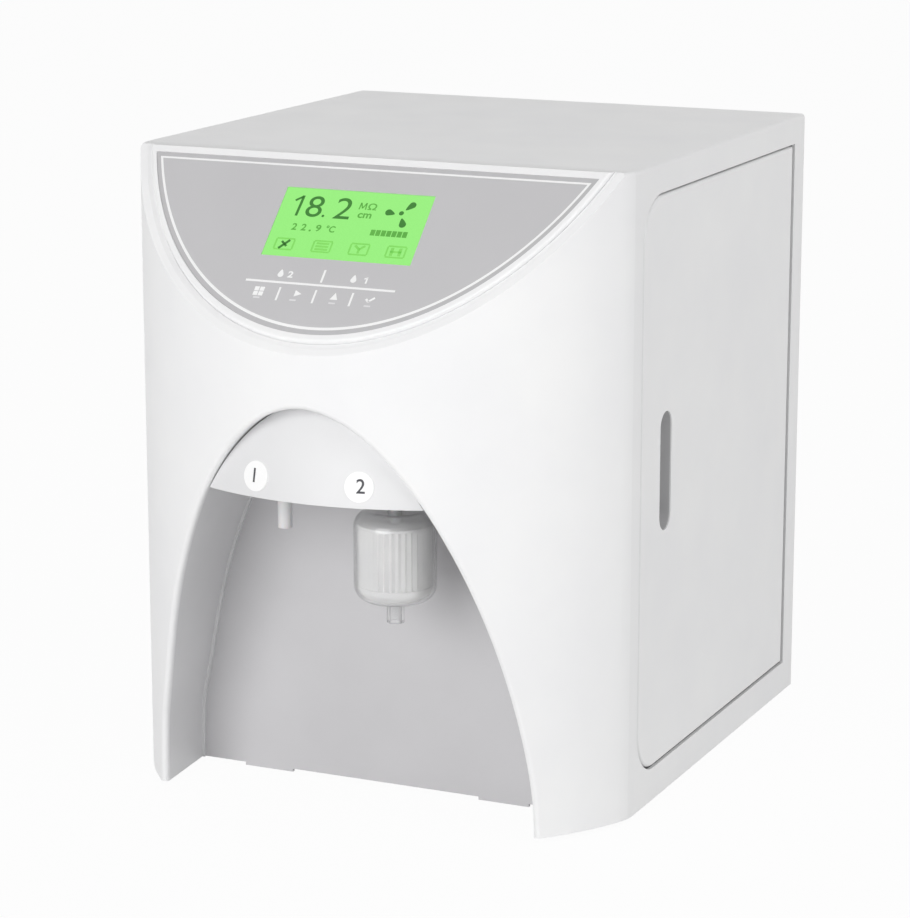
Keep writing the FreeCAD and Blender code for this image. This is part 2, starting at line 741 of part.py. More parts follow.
def module_block(grow, low, high):
    """Block of the display module's outline, drawn flat."""
    x = SCREEN_WIDTH / 2 + MODULE_BORDER_X + grow
    y = SCREEN_HEIGHT / 2 + MODULE_BORDER_Y + grow
    return box((-x, x), (-SCREEN_DROP - y, -SCREEN_DROP + y), (low, high))


def screen_block(grow, low, high):
    """Block of the visible screen, drawn flat."""
    x, y = SCREEN_WIDTH / 2 + grow, SCREEN_HEIGHT / 2 + grow
    return box((-x, x), (-SCREEN_DROP - y, -SCREEN_DROP + y), (low, high))


def display_bezel():
    """White D-shaped frame that stands a little proud of the slanted face."""
    high = BEZEL_THICKNESS - POCKET_DEPTH
    plate = d_plate(BEZEL_RADIUS, -20, -POCKET_DEPTH, high)

    def lip(edge):
        box_ = edge.BoundBox
        return box_.ZMin > high - 0.01 and box_.YLength > 20
    plate = round_edges(plate, BEZEL_EDGE_ROUND, lip)
    plate = plate.cut(d_plate(BEZEL_RADIUS - BEZEL_LIP, BEZEL_TOP_STRIP,
                              high - OVERLAY_SUNK - OVERLAY_THICKNESS, high + 1))
    plate = plate.cut(screen_block(FIT_GAP, -POCKET_DEPTH - 1, high + 1))
    plate = plate.cut(key_discs(DOME_RADIUS + FIT_GAP, DOME_WELL, DOME_WELL + 1))
    plate = on_face(plate)
    return plate.cut(box((-FAR, FAR), (-FAR, FAR), (CABINET_HEIGHT, FAR)))


def key_discs(radius, depth, thickness):
    """Round discs at the four keys, starting a depth below the film, drawn flat."""
    film = BEZEL_THICKNESS - POCKET_DEPTH - OVERLAY_SUNK - OVERLAY_THICKNESS
    discs = []
    for i in range(KEY_COUNT):
        x = KEY_SHIFT + (i - (KEY_COUNT - 1) / 2) * KEY_PITCH
        discs.append(rod(radius, (x, -KEY_DROP, film - depth), (x, -KEY_DROP, film - depth + thickness)))
    return Part.makeCompound(discs)


def key_domes():
    """Four snap discs that give the flexing film its click, lying in the bezel's wells."""
    return on_face(key_discs(DOME_RADIUS, DOME_WELL, DOME_THICKNESS))


def control_overlay():
    """Grey printed film over the bezel, with a window for the screen."""
    high = BEZEL_THICKNESS - POCKET_DEPTH - OVERLAY_SUNK
    film = d_plate(BEZEL_RADIUS - BEZEL_LIP - FIT_GAP, BEZEL_TOP_STRIP + FIT_GAP,
                   high - OVERLAY_THICKNESS, high)
    film = film.cut(screen_block(FIT_GAP, high - 3, high + 1))
    return on_face(film)


def screen_glass():
    """Lit screen, seated on the module's frame and reaching up through bezel and film."""
    high = BEZEL_THICKNESS - POCKET_DEPTH - OVERLAY_SUNK - FIT_GAP
    return on_face(screen_block(0, -POCKET_DEPTH, high))


def display_module():
    """Metal-framed display with its circuit board, under the slanted face."""
    frame = module_block(0, -POCKET_DEPTH - MODULE_FRAME, -POCKET_DEPTH)
    board = module_block(MODULE_BOARD, -POCKET_DEPTH - MODULE_FRAME - MODULE_BOARD,
                         -POCKET_DEPTH - MODULE_FRAME)
    return on_face(join([frame, board]))


# ---------------------------------------------------------------- outlet hood
def dome(inset):
    """Body whose front follows the bowed cover and leans back as it rises."""
    top = BAY_REAR_HEIGHT + 5
    outer = BOW_RADIUS - HOOD_RECESS - inset
    middle = (HOOD_BOTTOM + top) / 2
    profile = [(0, HOOD_BOTTOM), (outer, HOOD_BOTTOM, outer - HOOD_SETBACK / 2 + HOOD_BULGE, middle),
               (outer - HOOD_SETBACK, top), (0, top)]
    return turned(profile, 0, BOW_CENTRE)


def outlet_hood():
    """Moulded hood in the top of the bay, closed below, with two outlet holes."""
    solid = bay_solid(-HOOD_CLEARANCE, -FRONT_BULGE - 8, 0).common(dome(0))
    room = bay_solid(-HOOD_CLEARANCE - HOOD_WALL, -FRONT_BULGE - 8, 8).common(dome(HOOD_WALL))
    hood = solid.cut(room.common(box((-HALF, HALF), (-FRONT_BULGE, 8), (HOOD_FLOOR, CABINET_HEIGHT))))
    for x, radius in ((-OUTLET_SPACING / 2, NOZZLE_RADIUS), (OUTLET_SPACING / 2, SPIGOT_RADIUS)):
        hood = hood.cut(rod(radius + FIT_GAP, (x, OUTLET_Y, 0), (x, OUTLET_Y, HOOD_FLOOR + 1)))
    return hood


def outlet_labels():
    """Two thin round stickers on the hood, one over each outlet."""
    solids = []
    layer = dome(-LABEL_THICKNESS).cut(dome(0))
    for side in (-1, 1):
        x = side * LABEL_SPACING / 2
        y = bow_y(x, 0)
        out = V(x, y - BOW_CENTRE, 0).normalize()
        start = V(x, y, LABEL_HEIGHT) - out * 20
        solids.append(Part.makeCylinder(LABEL_RADIUS, 40, start, out).common(layer))
    return Part.makeCompound(solids)


def fitting_top(x):
    """Flange that rests on the hood's floor, with the hose barb above it."""
    seat = HOOD_FLOOR + FLANGE_THICKNESS
    flange = rod(FLANGE_RADIUS, (x, OUTLET_Y, HOOD_FLOOR), (x, OUTLET_Y, seat))
    return join([flange, rod(BARB_RADIUS, (x, OUTLET_Y, seat), (x, OUTLET_Y, seat + BARB_LENGTH))])


def ro_nozzle():
    """Plain outlet tube: a flange inside the hood carries it, with a hose barb above."""
    x = -OUTLET_SPACING / 2
    solid = join([rod(NOZZLE_RADIUS, (x, OUTLET_Y, NOZZLE_BOTTOM), (x, OUTLET_Y, HOOD_FLOOR)),
                  fitting_top(x)])
    return solid.cut(rod(NOZZLE_BORE, (x, OUTLET_Y, 0), (x, OUTLET_Y, FAR)))


def filter_spigot():
    """Male fitting under the hood that the final filter is turned onto."""
    x = OUTLET_SPACING / 2
    step = HOOD_BOTTOM - SPIGOT_DROP
    solid = join([rod(SPIGOT_END_RADIUS, (x, OUTLET_Y, step - SPIGOT_END_LENGTH), (x, OUTLET_Y, step)),
                  rod(SPIGOT_RADIUS, (x, OUTLET_Y, step), (x, OUTLET_Y, HOOD_FLOOR)),
                  fitting_top(x)])
    return solid.cut(rod(NOZZLE_BORE, (x, OUTLET_Y, 0), (x, OUTLET_Y, FAR)))


def capsule_profile(inset):
    """Outline of the filter capsule from its lower pole to its upper pole, inset by a wall."""
    radius, curve = FILTER_RADIUS - inset, FILTER_ROUND - inset
    low, high = FILTER_BOTTOM + inset, FILTER_TOP - inset
    centre = radius - curve
    return [(0, low), (centre, low) + quarter(centre, low + curve, curve, -45), (radius, low + curve),
            (radius, high - curve) + quarter(centre, high - curve, curve, 45), (centre, high), (0, high)]


def filter_shell():
    """Clear moulded capsule with its neck and outlet stub."""
    x = OUTLET_SPACING / 2
    neck_top = HOOD_BOTTOM - SPIGOT_DROP
    body = join([turned(capsule_profile(0), x, OUTLET_Y),
                 rod(SPIGOT_RADIUS, (x, OUTLET_Y, FILTER_TOP - FILTER_WALL), (x, OUTLET_Y, neck_top)),
                 rod(FILTER_STUB_RADIUS, (x, OUTLET_Y, FILTER_STUB_BOTTOM),
                     (x, OUTLET_Y, FILTER_BOTTOM + FILTER_WALL))])
    body = body.cut(turned(capsule_profile(FILTER_WALL), x, OUTLET_Y))
    body = body.cut(rod(SPIGOT_END_RADIUS + RUNNING_GAP, (x, OUTLET_Y, FILTER_TOP - FILTER_ROUND),
                        (x, OUTLET_Y, neck_top + 1)))
    return body.cut(rod(NOZZLE_BORE + 1, (x, OUTLET_Y, 0), (x, OUTLET_Y, FILTER_BOTTOM + FILTER_ROUND)))


def filter_core():
    """Pleated membrane between a dished foot cap and a flat top cap, on the capsule's floor."""
    x = OUTLET_SPACING / 2
    floor = FILTER_BOTTOM + FILTER_WALL
    foot = FILTER_RADIUS - FILTER_ROUND
    outer = FILTER_RADIUS - FILTER_WALL - CORE_GAP
    low = floor + FILTER_ROUND - FILTER_WALL
    high = HOOD_BOTTOM - SPIGOT_DROP - SPIGOT_END_LENGTH - 2 * FILTER_WALL
    half_turn = math.pi / FILTER_PLEATS
    tips = []
    for i in range(2 * FILTER_PLEATS + 1):
        radius = outer - PLEAT_DEPTH * (i % 2)
        turn = i * half_turn
        tips.append(V(x + radius * math.cos(turn), OUTLET_Y + radius * math.sin(turn), low))
    pleats = Part.Face(Part.makePolygon(tips)).extrude(V(0, 0, high - low))
    dish = turned(capsule_profile(FILTER_WALL + CORE_GAP), x, OUTLET_Y)
    dish = dish.common(rod(FILTER_RADIUS, (x, OUTLET_Y, floor), (x, OUTLET_Y, low)))
    pad = rod(foot, (x, OUTLET_Y, floor), (x, OUTLET_Y, floor + 2 * CORE_GAP))
    lid = rod(outer, (x, OUTLET_Y, high), (x, OUTLET_Y, high + FILTER_WALL))
    core = join([dish, pad, pleats, lid])
    return core.cut(rod(NOZZLE_BORE + 1, (x, OUTLET_Y, 0), (x, OUTLET_Y, high + FILTER_WALL + 1)))


# ---------------------------------------------------------------- side door
def door_frame():
    """Moulded frame behind the opening: a wall round the door and a stop flange inside it."""
    low = HALF - FRAME_DEPTH
    ring = opening_outline(FRAME_WALL, low, INNER_HALF)
    ring = ring.cut(opening_outline(0, low + STOP_THICKNESS, HALF))
    ring = ring.cut(opening_outline(-STOP_WIDTH, low - 1, HALF))
    for z in (DOOR_BOTTOM - DOOR_GAP - FRAME_WALL - 1, DOOR_TOP + DOOR_GAP - 1):
        ring = ring.cut(rod(PIN_RADIUS, (HINGE_X, HINGE_Y, z), (HINGE_X, HINGE_Y, z + FRAME_WALL + 2)))
    return ring


def hinge_pins():
    """Two headed pins dropped through the frame into the door's bosses."""
    solids = []
    for seat, into in ((DOOR_TOP + DOOR_GAP + FRAME_WALL, -1), (DOOR_BOTTOM - DOOR_GAP - FRAME_WALL, 1)):
        tip = seat + into * (FRAME_WALL + DOOR_GAP + PIN_REACH)
        solids.append(join([rod(PIN_RADIUS, (HINGE_X, HINGE_Y, seat), (HINGE_X, HINGE_Y, tip)),
                            rod(PIN_HEAD_RADIUS, (HINGE_X, HINGE_Y, seat),
                                (HINGE_X, HINGE_Y, seat - into * PIN_HEAD))]))
    return Part.makeCompound(solids)


def pull_prism(grow, low, high):
    """Upright slot with round ends, seen along X."""
    radius = PULL_WIDTH / 2 + grow
    y = PULL_FRONT + PULL_WIDTH / 2
    bottom, top = PULL_BOTTOM + PULL_WIDTH / 2, PULL_BOTTOM + PULL_HEIGHT - PULL_WIDTH / 2
    ends = [rod(radius, (low, y, z), (high, y, z)) for z in (bottom, top)]
    return join(ends + [box((low, high), (y - radius, y + radius), (bottom, top))])


def side_door():
    """Pan-shaped door: skin with a return rim, hinge bosses, striker pads and the pull's opening."""
    inner = HALF - DOOR_DEPTH
    pan = door_outline(0, inner, HALF)

    def outer_rim(edge):
        box_ = edge.BoundBox
        return box_.XMin > HALF - 0.01
    pan = round_edges(pan, DOOR_EDGE_ROUND, outer_rim)
    hollow = door_outline(-DOOR_SKIN, inner - 1, HALF - DOOR_SKIN)
    for low, high in ((DOOR_BOTTOM, DOOR_BOTTOM + PIN_REACH + DOOR_SKIN),
                      (DOOR_TOP - PIN_REACH - DOOR_SKIN, DOOR_TOP)):
        hollow = hollow.cut(box((inner - 2, HALF), (DOOR_REAR - 2 * HINGE_INSET, DOOR_REAR), (low, high)))
    for pad in striker_places():
        hollow = hollow.cut(box((inner + STRIKER_THICKNESS, HALF), (DOOR_FRONT, pad[0] + MAGNET_WIDTH),
                                (pad[1], pad[1] + MAGNET_LENGTH)))
    hollow = hollow.cut(pull_prism(3 * PULL_WALL, inner - 2, HALF).cut(pull_prism(PULL_WALL, 0, FAR)))
    door = pan.cut(hollow).cut(pull_prism(PULL_WALL, inner - 2, HALF - DOOR_SKIN / 2))
    door = door.cut(pull_prism(0, inner - 2, HALF + 1))
    bore = PIN_RADIUS + RUNNING_GAP
    for low, high in ((DOOR_BOTTOM - 1, DOOR_BOTTOM + PIN_REACH + FIT_GAP),
                      (DOOR_TOP - PIN_REACH - FIT_GAP, DOOR_TOP + 1)):
        door = door.cut(rod(bore, (HINGE_X, HINGE_Y, low), (HINGE_X, HINGE_Y, high)))
    return door


def door_pull():
    """Finger cup pressed into the door from behind."""
    high = HALF - DOOR_SKIN / 2
    low = HALF - PULL_DEPTH - PULL_WALL
    cup = pull_prism(PULL_WALL, low, high)
    floor = low + PULL_WALL
    return cup.cut(pull_prism(0, floor, HALF))


def striker_places():
    """Y and Z of the lower front corner of each striker."""
    y = DOOR_FRONT + DOOR_SKIN
    return [(y, DOOR_BOTTOM + 2 * DOOR_CORNER), (y, DOOR_TOP - 2 * DOOR_CORNER - MAGNET_LENGTH)]


def door_strikers():
    """Steel plates on the door that the magnets hold."""
    inner = HALF - DOOR_DEPTH
    return Part.makeCompound([
        box((inner, inner + STRIKER_THICKNESS), (y, y + MAGNET_WIDTH), (z, z + MAGNET_LENGTH))
        for y, z in striker_places()])


def door_magnets():
    """Magnets glued to the frame's stop flange behind the strikers."""
    low = HALF - FRAME_DEPTH + STOP_THICKNESS
    high = HALF - DOOR_DEPTH - MAGNET_GAP
    return Part.makeCompound([
        box((low, high), (y, y + MAGNET_WIDTH), (z, z + MAGNET_LENGTH)) for y, z in striker_places()])


# ---------------------------------------------------------------- cartridges
def cartridge(y):
    """Sealed quick-change cartridge: domed foot, ribbed grip, shoulder, neck with two lugs."""
    radius, curve = CARTRIDGE_RADIUS, CARTRIDGE_SHOULDER
    low, high = CARTRIDGE_BOTTOM, CARTRIDGE_TOP - SOCKET_GAP
    inner = radius - curve
    profile = [(0, low), (inner, low) + quarter(inner, low + curve, curve, -45), (radius, low + curve),
               (radius, high - curve) + quarter(inner, high - curve, curve, 45), (inner, high),
               (NECK_RADIUS, high), (NECK_RADIUS, CARTRIDGE_TOP + NECK_LENGTH),
               (0, CARTRIDGE_TOP + NECK_LENGTH)]
    solid = turned(profile, CARTRIDGE_X, y)
    lug_low = CARTRIDGE_TOP + LIP_THICKNESS
    ring = rod(LUG_RADIUS, (CARTRIDGE_X, y, lug_low), (CARTRIDGE_X, y, lug_low + LUG_THICKNESS))
    lugs = ring.common(box((CARTRIDGE_X - LUG_WIDTH / 2, CARTRIDGE_X + LUG_WIDTH / 2),
                           (y - LUG_RADIUS, y + LUG_RADIUS), (lug_low, lug_low + LUG_THICKNESS)))
    ribs = []
    for i in range(GRIP_RIBS):
        rib = box((CARTRIDGE_X + radius - 1, CARTRIDGE_X + radius + RIB_HEIGHT),
                  (y - RIB_WIDTH / 2, y + RIB_WIDTH / 2), (low + curve, low + curve + GRIP_HEIGHT))
        rib.rotate(V(CARTRIDGE_X, y, 0), V(0, 0, 1), 360 * i / GRIP_RIBS)
        ribs.append(rib)
    return join([solid, lugs] + ribs)


def filter_manifold():
    """Head block with a bayonet socket over each cartridge and nipples through the wall."""
    front, rear = CARTRIDGE_ROW[0], CARTRIDGE_ROW[-1]
    margin = SOCKET_RADIUS + 3
    top = MANIFOLD_BOTTOM + MANIFOLD_THICKNESS
    block = box((SERVICE_WALL_RIGHT, CARTRIDGE_X + SOCKET_RADIUS), (front - margin, rear + margin),
                (MANIFOLD_BOTTOM, top))
    nipple_z = (MANIFOLD_BOTTOM + top) / 2
    pieces = [block]
    for y in CARTRIDGE_ROW:
        pieces.append(rod(SOCKET_RADIUS, (CARTRIDGE_X, y, CARTRIDGE_TOP),
                          (CARTRIDGE_X, y, MANIFOLD_BOTTOM)))
        pieces.append(rod(NIPPLE_RADIUS, (SERVICE_WALL_X - NIPPLE_LENGTH, y, nipple_z),
                          (SERVICE_WALL_RIGHT, y, nipple_z)))
    head = join(pieces)
    bore = NECK_RADIUS + RUNNING_GAP
    groove_low = CARTRIDGE_TOP + LIP_THICKNESS
    groove_high = groove_low + LUG_THICKNESS + RIB_HEIGHT
    entry = LUG_WIDTH / 2 + 1
    for y in CARTRIDGE_ROW:
        head = head.cut(rod(bore, (CARTRIDGE_X, y, CARTRIDGE_TOP - 1), (CARTRIDGE_X, y, MANIFOLD_BOTTOM)))
        head = head.cut(rod(LUG_RADIUS + 1, (CARTRIDGE_X, y, groove_low), (CARTRIDGE_X, y, groove_high)))
        slot = rod(LUG_RADIUS + 1, (CARTRIDGE_X, y, CARTRIDGE_TOP - 1), (CARTRIDGE_X, y, groove_high))
        head = head.cut(slot.common(box((CARTRIDGE_X - FAR, CARTRIDGE_X + FAR), (y - entry, y + entry),
                                        (0, FAR))))
        head = head.cut(rod(NOZZLE_BORE, (SERVICE_WALL_X - NIPPLE_LENGTH - 1, y, nipple_z),
                            (CARTRIDGE_X, y, nipple_z)))
    return head


def cartridge_clips():
    """Spring cradles that steady the cartridges against the service wall."""
    solids = []
    inner = CARTRIDGE_RADIUS + CLIP_GAP
    for y in CARTRIDGE_ROW:
        ring = rod(inner + CLIP_THICKNESS, (CARTRIDGE_X, y, CLIP_HEIGHT),
                   (CARTRIDGE_X, y, CLIP_HEIGHT + CLIP_WIDTH))
        arm = box((SERVICE_WALL_RIGHT, CARTRIDGE_X - inner + CLIP_THICKNESS),
                  (y - CLIP_WIDTH / 2, y + CLIP_WIDTH / 2), (CLIP_HEIGHT, CLIP_HEIGHT + CLIP_WIDTH))
        clip = join([ring, arm]).cut(rod(inner, (CARTRIDGE_X, y, 0), (CARTRIDGE_X, y, FAR)))
        mouth = box((CARTRIDGE_X + inner / 3, FAR), (y - FAR, y + FAR), (0, FAR))
        solids.append(clip.cut(mouth))
    return Part.makeCompound(solids)


def service_wall():
    """Upright sheet between the cartridge bay and the machinery behind it."""
    x = (SERVICE_WALL_X, SERVICE_WALL_RIGHT)
    inset = (SHEET + SERVICE_FOOT_INSET, REAR_INNER - SERVICE_FOOT_INSET)
    lift = BASE_TOP + SERVICE_LIFT
    sheet = box(x, (SHEET, REAR_INNER), (lift, CABINET_HEIGHT - SERVICE_WALL_HEADROOM))
    foot = box((SERVICE_WALL_X - SERVICE_FOOT, SERVICE_WALL_RIGHT), inset,
               (BASE_TOP, BASE_TOP + SERVICE_SHEET))
    web = box(x, inset, (BASE_TOP, lift + 1))
    wall = join([sheet, foot, web])
    nipple_z = MANIFOLD_BOTTOM + MANIFOLD_THICKNESS / 2
    for y in CARTRIDGE_ROW:
        wall = wall.cut(rod(NIPPLE_RADIUS + FIT_GAP, (SERVICE_WALL_X - 1, y, nipple_z),
                            (SERVICE_WALL_RIGHT + 1, y, nipple_z)))
    return wall


# ---------------------------------------------------------------- machinery
PLATE_LOW = BASE_TOP + PUMP_MOUNT_HEIGHT
PUMP_Z = PLATE_LOW + PUMP_PLATE + PUMP_HEAD_RADIUS
HEAD_FRONT = MOTOR_FRONT + MOTOR_LENGTH


def pump_motor():
    """Motor can, held to the pump head by its face."""
    return rod(MOTOR_RADIUS, (PUMP_X, MOTOR_FRONT, PUMP_Z), (PUMP_X, HEAD_FRONT, PUMP_Z))


def pump_head():
    """Diaphragm head with its foot on the mounting plate and two ports on top."""
    rear = HEAD_FRONT + PUMP_HEAD_LENGTH
    body = rod(PUMP_HEAD_RADIUS, (PUMP_X, HEAD_FRONT, PUMP_Z), (PUMP_X, rear, PUMP_Z))
    foot = box((PUMP_X - PUMP_HEAD_RADIUS, PUMP_X + PUMP_HEAD_RADIUS), (HEAD_FRONT, rear),
               (PLATE_LOW + PUMP_PLATE, PUMP_Z - PUMP_HEAD_RADIUS / 2))
    middle = (HEAD_FRONT + rear) / 2
    ports = [rod(NIPPLE_RADIUS, (PUMP_X + side * PUMP_PORT_SPREAD, middle, PUMP_Z),
                 (PUMP_X + side * PUMP_PORT_SPREAD, middle, PUMP_Z + PUMP_HEAD_RADIUS + NIPPLE_LENGTH))
             for side in (-1, 1)]
    return join([body, foot] + ports)


def pump_plate():
    """Steel plate with a saddle that carries the motor."""
    x = (PUMP_X - PUMP_PLATE_WIDTH / 2, PUMP_X + PUMP_PLATE_WIDTH / 2)
    plate = box(x, (MOTOR_FRONT, HEAD_FRONT + PUMP_HEAD_LENGTH), (PLATE_LOW, PLATE_LOW + PUMP_PLATE))
    saddle = box((PUMP_X - SADDLE_WIDTH / 2, PUMP_X + SADDLE_WIDTH / 2),
                 (MOTOR_FRONT + SADDLE_INSET, MOTOR_FRONT + SADDLE_INSET + SADDLE_LENGTH),
                 (PLATE_LOW + PUMP_PLATE, PUMP_Z - MOTOR_RADIUS / 2))
    return join([plate, saddle]).cut(pump_motor())


def pump_mounts():
    """Four rubber buffers between the pump plate and the base."""
    solids = []
    for side in (-1, 1):
        for y in (MOTOR_FRONT + MOUNT_INSET, HEAD_FRONT + PUMP_HEAD_LENGTH - MOUNT_INSET):
            x = PUMP_X + side * (PUMP_PLATE_WIDTH / 2 - PUMP_MOUNT_RADIUS - 2)
            solids.append(rod(PUMP_MOUNT_RADIUS, (x, y, BASE_TOP), (x, y, PLATE_LOW)))
    return Part.makeCompound(solids)


UV_X = SERVICE_WALL_X - UV_WALL_GAP - UV_RADIUS
UV_Y = CARTRIDGE_ROW[-1]


def uv_reactor():
    """Stainless ultraviolet chamber with an inlet and an outlet on its side."""
    top = UV_BOTTOM + UV_LENGTH
    pieces = [rod(UV_RADIUS, (UV_X, UV_Y, UV_BOTTOM), (UV_X, UV_Y, top))]
    for z in (UV_BOTTOM + UV_PORT_INSET, top - UV_PORT_INSET):
        pieces.append(rod(NIPPLE_RADIUS, (UV_X, UV_Y, z), (UV_X - UV_RADIUS - NIPPLE_LENGTH, UV_Y, z)))
    return join(pieces)


def uv_caps():
    """Moulded end caps that hold the lamp, each tapered to its cable boss."""
    caps = []
    rim, boss = UV_RADIUS + UV_CAP_RIM, UV_RADIUS / 2
    for end, away in ((UV_BOTTOM, -1), (UV_BOTTOM + UV_LENGTH, 1)):
        shoulder = end + away * UV_CAP
        tip = shoulder + away * UV_CAP_TAPER
        caps.append(turned([(0, end), (rim, end), (rim, shoulder), (boss, tip), (0, tip)], UV_X, UV_Y))
    return Part.makeCompound(caps)


def uv_clips():
    """Two open clips that hold the reactor on the service wall."""
    solids = []
    for z in (UV_BOTTOM + UV_CLIP_INSET, UV_BOTTOM + UV_LENGTH - UV_CLIP_INSET - CLIP_WIDTH):
        ring = rod(UV_RADIUS + CLIP_THICKNESS, (UV_X, UV_Y, z), (UV_X, UV_Y, z + CLIP_WIDTH))
        foot = box((UV_X + UV_RADIUS / 2, SERVICE_WALL_X), (UV_Y - UV_RADIUS / 2, UV_Y + UV_RADIUS / 2),
                   (z, z + CLIP_WIDTH))
        clip = join([ring, foot]).cut(rod(UV_RADIUS, (UV_X, UV_Y, 0), (UV_X, UV_Y, FAR)))
        solids.append(clip.cut(box((-FAR, UV_X - UV_RADIUS / 2), (0, FAR), (0, FAR))))
    return Part.makeCompound(solids)


def power_supply():
    """Boxed supply on the base with a row of vents in its top."""
    x = (SUPPLY_X, SUPPLY_RIGHT)
    case = box(x, (SUPPLY_Y, SUPPLY_Y + SUPPLY_LENGTH), (BASE_TOP, BASE_TOP + SUPPLY_HEIGHT))
    for i in range(SUPPLY_VENTS):
        y = SUPPLY_Y + SUPPLY_LENGTH * (i + 1.5) / (SUPPLY_VENTS + 2)
        case = case.cut(box((x[0] + SUPPLY_VENT_INSET, x[1] - SUPPLY_VENT_INSET), (y, y + VENT_HEIGHT),
                            (BASE_TOP + SUPPLY_HEIGHT - 2, BASE_TOP + SUPPLY_HEIGHT + 1)))
    return case


def board_places():
    """X and Z of the board's four corner holes."""
    x, z = BOARD_WIDTH / 2 - BOARD_HOLE_INSET, BOARD_HEIGHT / 2 - BOARD_HOLE_INSET
    middle = BOARD_BOTTOM + BOARD_HEIGHT / 2
    return [(side * x, middle + up * z) for side in (-1, 1) for up in (-1, 1)]


def control_board():
    """Circuit board on the cabinet side of the bulkhead, with its larger components."""
    front = SHEET + STANDOFF_LENGTH
    rear = front + BOARD_SHEET
    top = BOARD_BOTTOM + BOARD_HEIGHT
    board = box((-BOARD_WIDTH / 2, BOARD_WIDTH / 2), (front, rear), (BOARD_BOTTOM, top))
    blocks = [box((x, x + wide), (rear, rear + proud), (BOARD_BOTTOM + z, BOARD_BOTTOM + z + tall))
              for x, z, wide, tall, proud in BOARD_BLOCKS]
    z = BOARD_BOTTOM + CAPACITOR_Z
    cans = [rod(CAPACITOR_RADIUS, (x, rear, z), (x, rear + CAPACITOR_LENGTH, z)) for x in CAPACITOR_X]
    return join([board] + blocks + cans)


def board_standoffs():
    """Four round spacers between the bulkhead and the board."""
    return Part.makeCompound([rod(STANDOFF_RADIUS, (x, SHEET, z), (x, SHEET + STANDOFF_LENGTH, z))
                              for x, z in board_places()])


def solenoid_valves():
    """Inlet and flush valves: a port block on the wall with a coil standing on it."""
    solids = []
    for i in range(VALVE_COUNT):
        y = VALVE_Y + i * VALVE_PITCH
        half = VALVE_BODY / 2
        block = box((SERVICE_WALL_X - VALVE_BODY, SERVICE_WALL_X), (y - half, y + half),
                    (VALVE_Z, VALVE_Z + VALVE_BODY))
        coil = rod(COIL_RADIUS, (SERVICE_WALL_X - half - 2, y, VALVE_Z + VALVE_BODY),
                   (SERVICE_WALL_X - half - 2, y, VALVE_Z + VALVE_BODY + COIL_LENGTH))
        stub = rod(NIPPLE_RADIUS, (SERVICE_WALL_X - VALVE_BODY - NIPPLE_LENGTH / 2, y, VALVE_Z + half),
                   (SERVICE_WALL_X - half, y, VALVE_Z + half))
        solids.append(join([block, coil, stub]))
    return Part.makeCompound(solids)


def pressure_switch():
    """Low-pressure switch on the service wall."""
    y, z = SWITCH_Y, VALVE_Z + VALVE_BODY / 2
    front = SERVICE_WALL_X - SWITCH_LENGTH
    return join([rod(SWITCH_RADIUS, (front, y, z), (SERVICE_WALL_X, y, z)),
                 rod(NIPPLE_RADIUS, (front - NIPPLE_LENGTH / 2, y, z), (front, y, z))])


def conductivity_cell():
    """Flow cell that measures the water's purity, clipped flat to the service wall."""
    x, y = SERVICE_WALL_X - CELL_RADIUS, SWITCH_Y + CELL_SPACING
    z = VALVE_Z - CELL_DROP
    block = box((x, SERVICE_WALL_X), (y - CELL_RADIUS, y + CELL_RADIUS), (z, z + CELL_LENGTH))
    return join([block, rod(CELL_RADIUS, (x, y, z), (x, y, z + CELL_LENGTH))])


